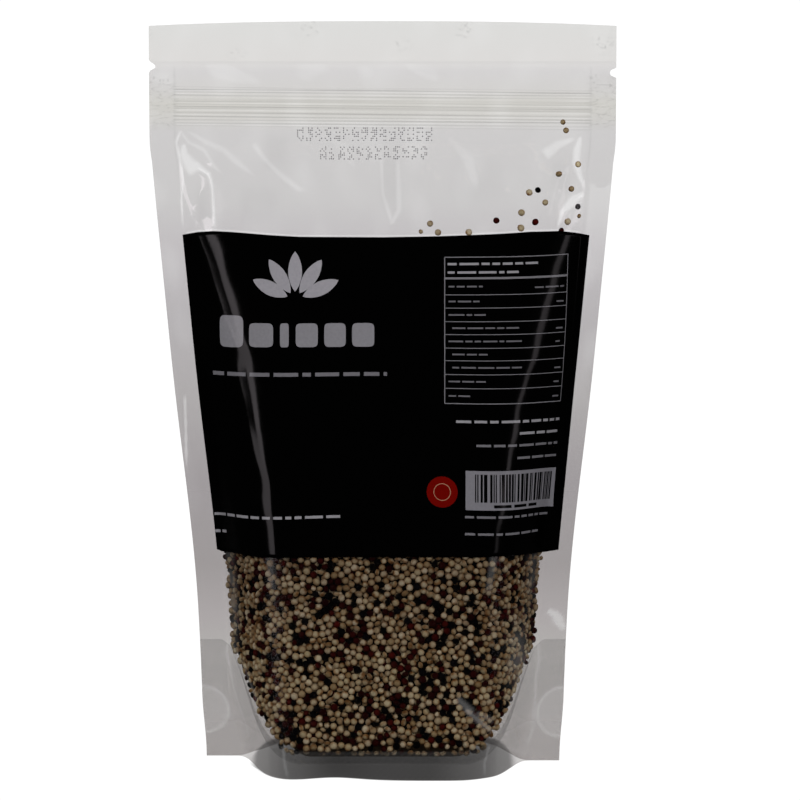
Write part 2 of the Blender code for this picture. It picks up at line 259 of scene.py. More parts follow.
# The strips of light at either side, in metres: height, place outwards, width and strength
STRIP_CARDS = {
    -1: [(0.34, -0.32, 0.03, 2.6), (0.26, -0.255, 0.035, 2.6), (0.20, -0.18, 0.11, 2.0),
         (0.14, -0.12, 0.13, 1.8), (0.09, -0.15, 0.17, 1.5), (0.06, -0.075, 0.42, 1.4),
         (0.045, -0.07, 0.42, 1.35), (-0.035, -0.22, 0.24, 1.2), (-0.06, -0.23, 0.2, 0.45),
         (-0.1, -0.23, 0.15, 0.15)],
    1: [(0.24, -0.02, 0.01, 0.0), (0.19, -0.02, 0.015, 1.0), (0.165, -0.02, 0.03, 1.9),
        (0.135, 0.08, 0.075, 1.3), (0.10, 0.24, 0.13, 1.1), (0.06, 0.26, 0.24, 0.95),
        (0.045, 0.23, 0.26, 0.95), (-0.035, -0.09, 0.24, 0.4), (-0.06, -0.2, 0.12, 0.25),
        (-0.1, -0.22, 0.1, 0.1)],
}
# They and the side lamps stand this far off, in metres, and this far round, in degrees
SIDE_AWAY, SIDE_ROUND = 1.2, 62
# Strength of white just over the brightest that a picture holds, for the paper and behind it
WHITE_PAPER = 1.05


def smooth(value, start, end):
    """0 before start, 1 past end, and 3t2 - 2t3 between them."""
    t = np.clip((value - start) / (end - start), 0.0, 1.0)
    return t * t * (3.0 - 2.0 * t)


def half_depth(up):
    """The belly's depth in the middle: its depth at the floor times (1 - height ** a) ** b."""
    share = np.clip(up / BELLY_TOP, 0.0, 1.0)
    taper = (1.0 - share**BELLY_HEIGHT_POWER) ** BELLY_TAPER_POWER
    return BELLY_HALF_DEPTH * taper * smooth(BELLY_TOP - up, 0.0, BELLY_LEAD_IN)


def section(share, up):
    """The belly's depth at a share of its half width: middle depth times (1 - share ** n) ** q.

    At the foot both exponents are higher, so that the corners of the foot are drawn in.
    """
    soft = smooth(up, BOXY_BELOW, SOFT_ABOVE)
    foot = smooth(-np.asarray(up, float), -FOOT_ROUND, 0.0)
    n = BOXY_N + (SOFT_N - BOXY_N) * soft + FOOT_N * foot
    q = BOXY_Q + (SOFT_Q - BOXY_Q) * soft + FOOT_Q * foot
    return half_depth(up) * np.clip(1.0 - np.abs(share) ** n, 0.0, 1.0) ** q


def film_runs(share, up, half):
    """Running length along the film from its middle, at each share of the half width."""
    x = share * half
    steps = np.hypot(np.diff(x, axis=0), np.diff(section(share, up), axis=0))
    return np.concatenate([np.zeros((1, len(up))), np.cumsum(steps, axis=0)])


def film_tables():
    """X and depth of the film on an even grid of `up` and `across`, and the belly's half widths.

    The half width at each height is halved in on until the film's own length comes out right.
    """
    samples, halvings, step = 400, 36, 0.5
    up = np.arange(0.0, HEIGHT + 1.0)
    share = np.sin(np.linspace(0.0, math.pi / 2, samples))[:, None]
    small, large = np.full_like(up, HALF_FILM / 2), np.full_like(up, HALF_FILM)
    for _ in range(halvings):
        half = (small + large) / 2
        short = film_runs(share, up, half)[-1] < HALF_FILM
        small, large = np.where(short, half, small), np.where(short, large, half)
    runs = film_runs(share, up, half)
    across = np.arange(0.0, FLAT_HALF + 1.0, step)
    x = np.array([np.interp(across, runs[:, i], share[:, 0] * half[i]) for i in range(len(up))])
    y = np.array([np.interp(across, runs[:, i], section(share[:, 0], up[i])) for i in range(len(up))])
    beyond = np.clip(across - HALF_FILM, 0.0, None)
    return up, across, x + beyond, y, half


UPS, ACROSSES, TABLE_X, TABLE_Y, HALVES = film_tables()


def look_up(table, across, up):
    """The table's value at each place, mixed from its four nearest entries."""
    hair = 1e-6
    u = np.clip(up, 0.0, UPS[-1] - hair)
    a = np.clip(np.abs(across), 0.0, ACROSSES[-1] - hair) / (ACROSSES[1] - ACROSSES[0])
    i, j = u.astype(int), a.astype(int)
    fu, fa = u - i, a - j
    lower = table[i, j] * (1 - fa) + table[i, j + 1] * fa
    upper = table[i + 1, j] * (1 - fa) + table[i + 1, j + 1] * fa
    return lower * (1 - fu) + upper * fu


def bell(off, half, power=2):
    """1 where `off` is nothing and e ** -1 at `half`: e to the minus (off / half) ** power."""
    return np.exp(-((off / half) ** power))


def along_line(across, up, points):
    """Distance from a broken line, and the share of the way along it, for each place."""
    best = np.full(across.shape, np.inf)
    share = np.zeros(across.shape)
    line = np.array(points, float)
    lengths = np.hypot(*np.diff(line, axis=0).T)
    done = np.concatenate([[0.0], np.cumsum(lengths)]) / lengths.sum()
    for k, (start, end) in enumerate(zip(line[:-1], line[1:])):
        run = end - start
        t = ((across - start[0]) * run[0] + (up - start[1]) * run[1]) / (run @ run)
        t = np.clip(t, 0.0, 1.0)
        far = np.hypot(across - start[0] - t * run[0], up - start[1] - t * run[1])
        nearer = far < best
        best = np.where(nearer, far, best)
        share = np.where(nearer, done[k] + t * (done[k + 1] - done[k]), share)
    return best, share


# Broad folds, as in the solid, then fine creases: points (across, up), half width, rise
FRONT_FOLDS = [
    ([(-66, 204), (-58, 176)], 5.0, -1.2),
    ([(-66, 200), (-63, 176)], 4.0, 0.8),
    ([(-58, 204), (-22, 176)], 5.0, 0.7),
    ([(66, 204), (58, 176)], 5.0, -1.2),
    ([(66, 200), (63, 176)], 4.0, 0.8),
    ([(56, 204), (26, 176)], 5.0, 0.7),
    ([(3, 202), (2, 182)], 6.0, -0.7),
]
FRONT_CREASES = [
    (LEFT_EDGE, 0.6, 0.25),
    ([(-63.2, 200), (-63.4, 196.8), (-61.5, 193.5), (-59.6, 190.6)], 2.4, 0.8),
    ([(-60.6, 194.6), (-58.3, 192.7), (-55.4, 190.9), (-54.5, 187.8), (-54.3, 182.8), (-53.9, 171)],
     1.1, 0.5),
    (LEFT_SHORT, 0.9, 0.35),
    (LEFT_LONG, 1.3, 0.40),
    (LEFT_INNER, 1.0, 0.35),
    (MIDDLE_LOOP, 0.9, 0.30),
    (RIGHT_EDGE, 1.3, 0.6),
    ([(65.6, 184.2), (62, 182.8), (57.8, 178.8), (56.3, 173)], 1.1, 0.5),
    (RIGHT_SHORT, 1.8, 0.5),
    ([(30, 203), (26, 190), (34, 178)], 2.5, 0.3),
]
# The front's creases that start over the label fade out towards its upper edge
OVER_LABEL = 180.0
LABEL_FADE = (171.0, 182.0)
FOOT_DENTS = [([(-15, -9), (-15, 8)], 11.0, -4.5), ([(30, -6), (36, 9)], 5.0, -1.2)]
SIDE_RIPPLES = [
    ([(-66, 150), (-58, 120), (-62, 95)], 2.5, 0.35),
    ([(66, 140), (59, 112), (63, 92)], 2.5, 0.35),
    ([(-60, 70), (-54, 52), (-50, 36)], 2.0, 0.4),
    ([(60, 72), (55, 54), (50, 34)], 2.0, 0.4),
]
BACK_FOLDS = [
    ([(-66, 204), (-46, 148)], 5.0, -1.2),
    ([(66, 204), (50, 146)], 5.0, -1.2),
    ([(-50, 203), (-20, 160)], 5.0, 0.8),
    ([(44, 203), (30, 165), (20, 140)], 4.0, 0.7),
    ([(-10, 203), (-6, 176)], 6.0, -0.8),
]
BACK_CREASES = [
    ([(-65, 202), (-52, 186), (-44, 166)], 1.3, 0.45),
    ([(65, 202), (56, 188), (52, 168)], 1.2, 0.5),
    ([(-30, 203), (-18, 190), (-12, 178)], 1.5, 0.35),
    ([(20, 203), (30, 188), (34, 172)], 1.5, 0.3),
]


def waves(across, up, seed, shortest, longest, count, height):
    """A sum of plane waves in random directions, each as high as its wavelength's share."""
    rng = np.random.default_rng(seed)
    total = np.zeros_like(across)
    for _ in range(count):
        wavelength = rng.uniform(shortest, longest)
        turn, phase = rng.uniform(0, math.pi), rng.uniform(0, 2 * math.pi)
        run = across * math.cos(turn) + up * math.sin(turn)
        total += wavelength / longest * np.sin(2 * math.pi * run / wavelength + phase)
    return height * total / math.sqrt(count / 2)


def relief(across, up, back):
    """Rise of the film over the belly: rounded ridges along lines, and a faint uneven swell."""
    rise = np.zeros_like(across)
    lines = BACK_FOLDS + BACK_CREASES if back else FRONT_FOLDS + FRONT_CREASES + SIDE_RIPPLES
    for points, wide, height in lines:
        off, share = along_line(across, up, points)
        ends = smooth(share, 0.0, 0.15) * smooth(1.0 - share, 0.0, 0.35)
        if not back and points[0][1] > OVER_LABEL:
            ends = ends * smooth(up, *LABEL_FADE)
        rise += height * bell(off, wide) * ends
    rise += waves(across, up, *(BACK_SWELL if back else FRONT_SWELL))
    for points, wide, height in [] if back else FOOT_DENTS:
        off, _ = along_line(across, up, points)
        rise += height * bell(off, wide) * smooth(9.0 - up, 0.0, 9.0)
    room = smooth(look_up(TABLE_Y, across, up), 0.0, 4.0)
    return rise * room


def film_point(across, up, lift=0.0, back=False):
    """Points on the film, lifted straight away from the bag's flat plane."""
    x = np.sign(across) * look_up(TABLE_X, across, up)
    depth = look_up(TABLE_Y, across, up) + relief(across, up, back) + lift
    left = smooth(-across, LEFT_FOOT_FROM, LEFT_FOOT_FULL)
    raised = LEFT_FOOT_RISE * left * smooth(-up, -LEFT_FOOT_TOP, 0.0)
    return np.stack([x, depth if back else -depth, up + raised], axis=-1)


def film_frame(across, up, back=False):
    """Point, and unit vectors across, up and out of the film, from differences a hair apart."""
    hair = 0.25
    point = film_point(across, up, 0.0, back)
    run = film_point(across + hair, up, 0.0, back) - film_point(across - hair, up, 0.0, back)
    rise = film_point(across, up + hair, 0.0, back) - film_point(across, up - hair, 0.0, back)
    out = np.cross(run, rise) * (-1.0 if back else 1.0)
    return [point] + [v / np.linalg.norm(v, axis=-1, keepdims=True) for v in (run, rise, out)]


def off_film(across, up, lift, back=False):
    """Points at a distance `lift` along the film's own normal."""
    point, _, _, out = film_frame(across, up, back)
    return point + np.asarray(lift)[..., None] * out


def put_mesh(name, points, faces, material, attributes=None):
    """A smooth mesh piece from points in millimetres, riding on the body, with its name and material."""
    mesh = bpy.data.meshes.new(name)
    mesh.from_pydata((points.reshape(-1, 3) * MM).tolist(), [], faces)
    mesh.shade_smooth()
    for key, values in (attributes or {}).items():
        layer = mesh.attributes.new(key, "FLOAT", "POINT")
        layer.data.foreach_set("value", np.asarray(values, np.float32).reshape(-1))
    piece = bpy.data.objects.new(name, mesh)
    bpy.context.scene.collection.objects.link(piece)
    mesh.materials.append(material)
    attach(piece, "root")
    return piece


def grid_faces(rows, columns, first=0, turned=False):
    """Quads of a grid stored row by row."""
    index = first + np.arange(rows * columns).reshape(rows, columns)
    quads = np.stack([index[:-1, :-1], index[:-1, 1:], index[1:, 1:], index[1:, :-1]], axis=-1)
    quads = quads.reshape(-1, 4)
    return (quads[:, ::-1] if turned else quads).tolist()


def slab(front, back):
    """Points and faces of a thin closed plate between two grids of one size."""
    rows, columns = front.shape[:2]
    count = rows * columns
    faces = grid_faces(rows, columns) + grid_faces(rows, columns, count, True)
    edge = list(range(columns)) + [r * columns + columns - 1 for r in range(1, rows)]
    edge += [(rows - 1) * columns + c for c in range(columns - 2, -1, -1)]
    edge += [r * columns for r in range(rows - 2, 0, -1)]
    faces += [[b, a, a + count, b + count] for a, b in zip(edge, edge[1:] + edge[:1])]
    return np.concatenate([front.reshape(-1, 3), back.reshape(-1, 3)]), faces


def linear(code, alpha=1.0):
    """An sRGB hex colour as the linear one that a shader takes."""
    parts = [int(code[i : i + 2], 16) / 255 for i in (1, 3, 5)]
    return [p / 12.92 if p <= 0.04045 else ((p + 0.055) / 1.055) ** 2.4 for p in parts] + [alpha]


def add(tree, kind, values=None, links=None, **settings):
    """One node with its settings, its sockets' values and its incoming links."""
    made = tree.nodes.new(kind)
    for key, value in settings.items():
        setattr(made, key, value)
    for key, value in (values or {}).items():
        made.inputs[key].default_value = value
    for key, (source, output) in (links or {}).items():
        tree.links.new(source.outputs[output], made.inputs[key])
    return made


def new_material(name):
    """A material with an empty node tree."""
    material = bpy.data.materials.new(name)
    material.use_nodes = True
    material.node_tree.nodes.clear()
    return material, material.node_tree


def ramp(tree, source, stops):
    """A colour ramp over the source, with stops of (place, hex colour)."""
    made = add(tree, "ShaderNodeValToRGB", links={"Fac": source})
    for end in (0, -1):
        made.color_ramp.elements[end].position = stops[end][0]
        made.color_ramp.elements[end].color = linear(stops[end][1])
    for place, code in stops[1:-1]:
        made.color_ramp.elements.new(place).color = linear(code)
    return made


# The clear film: length of its fine unevenness in millimetres, its roughness where seeds press on
# it, its mirror's strength seen straight on, and the knurl's pitch, as coarse as it needs to show
FILM_WAVE, PRESSED_ROUGHNESS, LEAST_MIRROR = 7.0, 0.38, 0.08
KNURL_PITCH = 0.95
# The label's and the ink's grain in millimetres, and the gloss that their varnish gives them
VINYL_GRAIN, INK_MOTTLE, VARNISH = 0.7, 0.9, 0.34


def laminate_film(name, tints, roughness, steepness=0.12, edge_gloss=0.15):
    """Clear PET and polythene laminate: high gloss and a grey cast that thickens with the plies.

    `tints` are its colour per ply by share of the height, with painted shade lower down on the clear film.
    The marks on the mesh darken or clear it, mostly as painted shade and highlights, and it goes darker where
    it is seen along its face. Where seeds press on it, it is dull.
    """
    material, tree = new_material(name)
    place = add(tree, "ShaderNodeTexCoord")
    apart = add(tree, "ShaderNodeSeparateXYZ", links={"Vector": (place, "Object")})
    share = add(tree, "ShaderNodeMath", {1: HEIGHT * MM}, {0: (apart, "Z")}, operation="DIVIDE")
    tint = ramp(tree, (share, "Value"), tints)
    facing = add(tree, "ShaderNodeLayerWeight", {"Blend": 0.5})
    # The clear mark lifts the tint towards white: clearer welds, and painted glints and highlights
    clear = add(tree, "ShaderNodeAttribute", attribute_name="clear")
    lighter = mix_colours(tree, (tint, "Color"), linear("#ffffff"), (clear, "Fac"))
    # The dark mark darkens it: mostly painted shade, beside the knurl's real dots
    dark = add(tree, "ShaderNodeAttribute", attribute_name="dark")
    steep = add(tree, "ShaderNodeMapRange", {"From Min": 0.35, "To Max": steepness},
                {"Value": (facing, "Facing")})
    knurl = seal_knurl(tree, apart)
    dots = add(tree, "ShaderNodeMapRange", {"From Min": 0.2, "To Max": 0.035}, {"Value": (knurl, "Value")})
    marked = add(tree, "ShaderNodeMath", links={0: (dark, "Fac"), 1: (dots, "Result")}, operation="ADD")
    total = add(tree, "ShaderNodeMath", links={0: (marked, "Value"), 1: (steep, "Result")},
                operation="ADD", use_clamp=True)
    darker = mix_colours(tree, (lighter, 2), linear("#2a2828"), (total, "Value"))
    speck = add(tree, "ShaderNodeTexNoise",
                {"Scale": 1 / (FILM_WAVE * MM), "Detail": 3.0, "Roughness": 0.55},
                {"Vector": (place, "Object")})
    rough = add(tree, "ShaderNodeMath", {1: 0.5}, {0: (knurl, "Value"), 2: (speck, "Fac")},
                operation="MULTIPLY_ADD")
    bump = add(tree, "ShaderNodeBump", {"Strength": 0.2, "Distance": 0.3 * MM}, {"Height": (rough, "Value")})
    seen = add(tree, "ShaderNodeBsdfTransparent", links={"Color": (darker, 2)})
    body = add(tree, "ShaderNodeBsdfPrincipled", {"Base Color": linear("#e4e3e2"), "Roughness": 0.5},
               {"Normal": (bump, "Normal")})
    # A lit white body laid over the film: the welds' real haze, and painted sheen and glints
    haze_and_sheen = add(tree, "ShaderNodeAttribute", attribute_name="haze_and_sheen")
    cloudy = add(tree, "ShaderNodeMixShader",
                 links={"Fac": (haze_and_sheen, "Fac"), 1: (seen, "BSDF"), 2: (body, "BSDF")})
    gloss = add(tree, "ShaderNodeBsdfGlossy", {"Color": (1, 1, 1, 1)}, {"Normal": (bump, "Normal")})
    press = ramp(tree, (share, "Value"), [(0.0, "#000000"), (0.045, "#000000"), (0.06, "#ffffff"),
                                          (0.30, "#ffffff"), (0.5, "#000000"), (1.0, "#000000")])
    dull = add(tree, "ShaderNodeMapRange", {"To Min": roughness, "To Max": PRESSED_ROUGHNESS},
               {"Value": (press, "Color")})
    tree.links.new(dull.outputs["Result"], gloss.inputs["Roughness"])
    grazing = add(tree, "ShaderNodeMath", {1: 5.0}, {0: (facing, "Facing")}, operation="POWER")
    mirror = add(tree, "ShaderNodeMath", {1: edge_gloss, 2: LEAST_MIRROR}, {0: (grazing, "Value")},
                 operation="MULTIPLY_ADD", use_clamp=True)
    shine = add(tree, "ShaderNodeMixShader", links={"Fac": (mirror, "Value"), 1: (cloudy, "Shader"),
                                                    2: (gloss, "BSDF")})
    add(tree, "ShaderNodeOutputMaterial", links={"Surface": (shine, "Shader")})
    return material


def label_vinyl():
    """Black vinyl sticker under a smooth varnish: deep black, with clear streaks of light."""
    material, tree = new_material("black satin vinyl")
    place = add(tree, "ShaderNodeTexCoord")
    grain = add(tree, "ShaderNodeTexNoise", {"Scale": 1 / (VINYL_GRAIN * MM), "Detail": 3.0},
                {"Vector": (place, "Object")})
    bump = add(tree, "ShaderNodeBump", {"Strength": 0.08, "Distance": 0.05 * MM},
               {"Height": (grain, "Fac")})
    skin = add(tree, "ShaderNodeBsdfPrincipled",
               {"Base Color": linear("#020202"), "Roughness": 0.08, "Specular IOR Level": VARNISH},
               {"Normal": (bump, "Normal")})
    add(tree, "ShaderNodeOutputMaterial", links={"Surface": (skin, "BSDF")})
    return material


def ink(name, code, roughness=0.10):
    """Flat printing ink under the same varnish, a tenth darker in patches, as a press leaves it."""
    material, tree = new_material(name)
    place = add(tree, "ShaderNodeTexCoord")
    mottle = add(tree, "ShaderNodeTexNoise", {"Scale": 1 / (INK_MOTTLE * MM), "Detail": 2.0},
                 {"Vector": (place, "Object")})
    shade = ramp(tree, (mottle, "Fac"), [(0.3, code), (0.75, code)])
    shade.color_ramp.elements[0].color = [c * 0.9 for c in linear(code)[:3]] + [1.0]
    skin = add(tree, "ShaderNodeBsdfPrincipled", {"Roughness": roughness, "Specular IOR Level": VARNISH},
               {"Base Color": (shade, "Color")})
    add(tree, "ShaderNodeOutputMaterial", links={"Surface": (skin, "BSDF")})
    return material


def seed_coat(name, tones, rim, germ, roughness):
    """Washed quinoa seed: a matt, faintly waxy coat. `tone` varies from seed to seed, and `mark`
    browns the rim first and then, as it nears 1, turns to the darker germ's stain."""
    material, tree = new_material(name)
    tone = add(tree, "ShaderNodeAttribute", attribute_name="tone")
    shade = ramp(tree, (tone, "Fac"), tones)
    mark = add(tree, "ShaderNodeAttribute", attribute_name="mark")
    band = add(tree, "ShaderNodeMapRange", {"From Max": 0.6, "To Max": 0.9}, {"Value": (mark, "Fac")})
    spot = add(tree, "ShaderNodeMapRange", {"From Min": 0.55, "To Max": 0.9}, {"Value": (mark, "Fac")})
    browned = mix_colours(tree, (shade, "Color"), linear(rim), (band, "Result"))
    stained = mix_colours(tree, (browned, 2), linear(germ), (spot, "Result"))
    skin = add(tree, "ShaderNodeBsdfPrincipled", {"Roughness": roughness, "Specular IOR Level": 0.35},
               {"Base Color": (stained, 2)})
    add(tree, "ShaderNodeOutputMaterial", links={"Surface": (skin, "BSDF")})
    return material


def seal_line(x):
    """Height at which the bottom film leaves the front: level in the middle, then a steep slant
    up to the side seal, where it meets the fold. Its bends are softened by a mean of five shifts."""
    line = np.array(SEAL_LINE).T
    soft = sum(np.interp(np.abs(x) + shift, line[0], line[1]) for shift in SEAL_LINE_SHIFTS)
    return soft / len(SEAL_LINE_SHIFTS)


def leave_height(across):
    """Height at which the bottom film leaves front and back at each place across the film: the
    seal line at the x that the film has there, found by going round until it settles."""
    height = np.zeros_like(across)
    for _ in range(SETTLING_ROUNDS):
        height = seal_line(look_up(TABLE_X, across, height))
    return height


# Rows of the film's grid as start, end and spacing: fine at the foot, coarse behind the label,
# fine over its upper edge and the creases, finest at the zip strip
ROW_BANDS = [(0.0, 72.0, 0.75), (72.0, 168.0, 2.4), (168.0, 175.0, 0.25), (175.0, 204.0, 0.6),
             (204.0, 219.5, 0.16), (219.5, SEAL_BOTTOM, 0.8)]
# Rows and columns in the seals, and the columns' spacing in front, back and bottom film
SEAL_ROWS, SEAL_COLUMNS = 22, 17
FRONT_STEP, BACK_STEP, BASE_STEP = 0.52, 0.9, 1.2


def film_rows():
    """Heights of the film's rows, band by band, with rows of their own for the top seal."""
    bands = [np.arange(*band) for band in ROW_BANDS]
    return np.concatenate(bands + [np.linspace(SEAL_BOTTOM, HEIGHT, SEAL_ROWS)])


def film_columns(step):
    """Column places across the flat film, with one exactly on each seal's inner edge."""
    inner = np.linspace(-HALF_FILM, HALF_FILM, int(2 * HALF_FILM / step) | 1)
    outer = np.linspace(HALF_FILM, FLAT_HALF, SEAL_COLUMNS)[1:]
    return np.concatenate([-outer[::-1], inner, outer])


def zip_profile(up):
    """Rise of the zip strip: a flat band with rounded ribs of differing height."""
    band = smooth(up, ZIP_BOTTOM - 0.5, ZIP_BOTTOM + 0.3) * smooth(ZIP_TOP + 0.5 - up, 0.0, 0.8)
    return band * (ZIP_BAND_RISE + sum(rise * bell(up - at, ZIP_RIB_HALF) for at, rise in ZIP_RIBS))


def notched(across, up):
    """Places across the film, drawn in at its outer edges where the tear notches are."""
    side = np.where(across < 0, -1, 1)
    at = np.where(side < 0, NOTCHES[-1], NOTCHES[1])
    bite = NOTCH_DEPTH * np.clip(NOTCH_STEEPNESS * (1.0 - np.abs(up - at) / NOTCH_HALF), 0.0, 1.0)
    outside = np.clip(np.abs(across) - (FLAT_HALF - NOTCH_REACH), 0.0, None) / NOTCH_REACH
    return across - side * bite * outside


def zip_lift(across, up):
    """How far a ply stands off the flat plane: the zip strip, crushed flat towards the side seals,
    and the fine crumple of the seals beside it."""
    crush = smooth(HALF_FILM - np.abs(across), 0.0, ZIP_CRUSH_FROM)
    strip = zip_profile(up + ZIP_SLANT * across) * (ZIP_CRUSHED + (1 - ZIP_CRUSHED) * crush)
    beside = smooth(np.abs(across), HALF_FILM - 2, HALF_FILM) * smooth(up, 200, 206) * smooth(228 - up, 0, 4)
    crumple = waves(0.6 * across, up, *CRUMPLE) * beside * smooth(FLAT_HALF - np.abs(across), 0, 1)
    return PLY_GAP + strip + crumple


def make_film(name, back, material):
    """One outer ply of the bag: the film's form, with notched edges and a bowed top edge."""
    up, flat = np.meshgrid(film_rows(), film_columns(BACK_STEP if back else FRONT_STEP), indexing="ij")
    across = notched(flat, up)
    points = film_point(across, up, zip_lift(across, up), back)
    drop = TOP_DROP * (np.abs(across) / FLAT_HALF) ** TOP_DROP_POWER
    points[..., 2] -= (TOP_CUT + drop) * smooth(up, SEAL_BOTTOM, HEIGHT)
    rim = np.abs(flat) >= FLAT_HALF - 1e-6
    points[..., 1] = np.where(rim, 0.0, points[..., 1])
    dark, clear, haze_and_sheen = film_marks(across, up, back)
    faces = grid_faces(*up.shape, turned=back)
    return put_mesh(name, points, faces, material, {"dark": dark, "clear": clear, "haze_and_sheen": haze_and_sheen})


def drift(across, number, middle, swing, run, longer, turn):
    """A slow sine along the zip strip, with a run and a start of its own for each line."""
    return middle + swing * np.sin(across / (run + longer * number) + turn * number)


def zip_shade_and_gleams(across, up):
    """Painted shade in the zip strip's fine grooves, and how bright the painted gleams between them are.

    Each line sways and fades a little along its run.
    """
    dark, clear = np.zeros_like(across), np.zeros_like(across)
    level = up + ZIP_SLANT * across
    for number, (at, wide, depth) in enumerate(ZIP_GROOVE_SHADES):
        sway = drift(across, number, *ZIP_SWAY)
        # Painted shade along each groove of the zip strip
        dark += ZIP_GROOVE_SHADE_DEPTH * depth * drift(across, number, *ZIP_FADE) * bell(level - at - sway, wide)
    for number, at in enumerate(ZIP_GLEAMS):
        fade = drift(across, number, *ZIP_GLEAM_FADE)
        clear += ZIP_GLEAM_CLEAR * fade * bell(level - at, ZIP_GLEAM_HALF)
    inside = smooth(HALF_FILM + 1.0 - np.abs(across), 0.0, 2.0)
    return dark * inside, clear * inside


def tack_marks(across, up):
    """Dark and clear of the half-disc seals: a clearer disc, with a shade inside its bright rim."""
    off = np.hypot(np.abs(across) - FLAT_HALF, up - np.where(across < 0, TACKS[-1], TACKS[1]))
    clear = TACK_CLEAR * smooth(TACK_RADIUS - off, 0.0, 0.8)
    clear += TACK_RIM_CLEAR * bell(off - TACK_RADIUS - 0.1, TACK_RIM_HALF)
    return TACK_RIM_DARK * bell(off - TACK_RADIUS + 0.8, TACK_RIM_HALF), clear


def skirt_marks(across, up, back):
    """Dark and milky of the foot under the seal line, where the bottom film is welded to the ply: a faint
    weave of the sealing jaws, with a painted shadow of the filling that is darkest in the middle and on the
    back, and painted light that makes the sides paler."""
    under = seal_line(look_up(TABLE_X, across, up)) - up
    welded = smooth(under, -0.3, 0.5) * smooth(34.0 - up, 0.0, 4.0)
    weave = np.sin(across * 2 * math.pi / WEAVE_PITCH) * np.sin(up * 2 * math.pi / WEAVE_PITCH)
    # Painted shadow of the filling under the seal line, then painted light at the foot's sides
    foot = smooth(44.0 - np.abs(across), 0.0, 12.0)
    depth = WELD_DARK + (BACK_FOOT_SHADOW if back else FRONT_FOOT_SHADOW) * foot
    dark = depth * smooth(under, -0.4, 0.8)
    dark -= SKIRT_SIDE_LIGHT * smooth(50.0 - up, 0.0, 14.0) * smooth(np.abs(across), 36.0, 46.0)
    return dark, WELD_MILKY * welded * (1 + WELD_WEAVE * weave)


def seal_marks(across, up):
    """Painted shade and glints of the crinkled corners beside the zip strip, painted shade along the seals'
    inner edges and in the wrinkles of the top seal, and clearer patches in the band over the strip."""
    crinkle = np.abs(waves(0.45 * across, up, *CRINKLES))
    corner = smooth(np.abs(across), HALF_FILM - 2.5, HALF_FILM + 0.5)
    corner = corner * smooth(up, 204, 206) * smooth(223 - up, 0, 2)
    dark = corner * (CORNER_DARK + CRINKLE_DARK * smooth(0.10 - crinkle, 0.0, 0.09))
    clear = corner * CRINKLE_GLINT * smooth(crinkle, 0.35, 0.9)
    edge = bell(np.abs(across) - HALF_FILM, SEAL_EDGE_HALF) * smooth(up, 186.0, 196.0)
    dark += SEAL_EDGE_DARK * edge * smooth(SEAL_BOTTOM - up, 0.0, 3.0)
    dark += TOP_SEAL_EDGE_DARK * bell(up - SEAL_BOTTOM, SEAL_EDGE_HALF)
    tonal = smooth(waves(0.6 * across, up, *BAND_TONES), 0.3, 0.9)
    clear += BAND_TONE_CLEAR * tonal * smooth(up, 218.5, 220.0) * smooth(SEAL_BOTTOM - up, 0.0, 1.0)
    patches = smooth(waves(across, up, *SEAL_PATCHES), 1.0, 1.8) * smooth(up, SEAL_BOTTOM, SEAL_BOTTOM + 1)
    wrinkles = smooth(0.2 - np.abs(waves(across, up, *SEAL_WRINKLES)), 0.0, 0.2)
    return dark + WRINKLE_DARK * patches * wrinkles, clear


def front_marks(across, up):
    """Painted light of the front alone: glints along its creases, sheen veils and shaded facets, the right
    seal's ragged shine and the bright line over the label's upper edge."""
    dark, clear, haze_and_sheen = (np.zeros_like(across) for _ in range(3))
    # Painted glints: they lighten the film, and over dark seeds lay white on it
    for points, widths, pale, milky in SHEEN_LINES:
        far, share = along_line(across, up, points)
        wide = np.interp(share, np.linspace(0, 1, len(widths)), widths)
        glow = bell(far, wide, 4) * smooth(share, 0.0, 0.08) * smooth(1.0 - share, 0.0, 0.2)
        clear += pale * glow
        haze_and_sheen += milky * glow
    # Painted sheen where the film's sides turn away
    uneven = 1.0 + waves(across, up, *SHEEN_VEIL_PATCHES)
    for at, height, wide, tall, depth in SHEEN_VEILS:
        haze_and_sheen += depth * uneven * bell(across - at, wide) * bell(up - height, tall)
    # Painted shade on the facets between the creases
    for at, height, wide, tall, depth in SHADED_FACETS:
        dark += depth * bell(across - at, wide, 4) * bell(up - height, tall, 4)
    # Painted reflection: the right seal's ragged shine
    shine = smooth(RIGHT_SEAL_TOP + waves(across, up, *RAGGED_END) - up, 0.0, 1.2)
    clear += RIGHT_SEAL_SHINE * shine * smooth(up, 150.0, 178.0) * smooth(across, 66.5, 68.0)
    rim = up - np.interp(across, *np.array(LABEL_HEAD).T)
    bright = bell(rim - LABEL_RIM_LIFT, LABEL_RIM_HALF) * smooth(66.0 - np.abs(across), 0.0, 2.0)
    return dark, clear + LABEL_RIM_HIGHLIGHT * bright, haze_and_sheen


def film_marks(across, up, back):
    """How much darker, clearer and cloudier the film looks at each place than its plain tint: real welds and
    seals, and much painted shade, glints and sheen.
    """
    zip_dark, zip_clear = zip_shade_and_gleams(across, up)
    tack_dark, tack_clear = tack_marks(across, up)
    foot_dark, haze_and_sheen = skirt_marks(across, up, back)
    seal_dark, seal_clear = seal_marks(across, up)
    dark = zip_dark + tack_dark + foot_dark + seal_dark
    clear = zip_clear + tack_clear + seal_clear
    clear += waves(across, up, *CLOUDING) * smooth(up, 60.0, 120.0)
    if not back:
        more_dark, more_clear, more_sheen = front_marks(across, up)
        dark, clear, haze_and_sheen = dark + more_dark, clear + more_clear, haze_and_sheen + more_sheen
    return np.clip(dark, -0.4, 1), np.clip(clear, -0.5, 1), np.clip(haze_and_sheen, 0, 1)


def mix_colours(tree, first, second, factor):
    """A mix node from a linked colour to a plain one."""
    made = add(tree, "ShaderNodeMix", data_type="RGBA")
    tree.links.new(factor[0].outputs[factor[1]], made.inputs[0])
    tree.links.new(first[0].outputs[first[1]], made.inputs[6])
    made.inputs[7].default_value = second
    return made


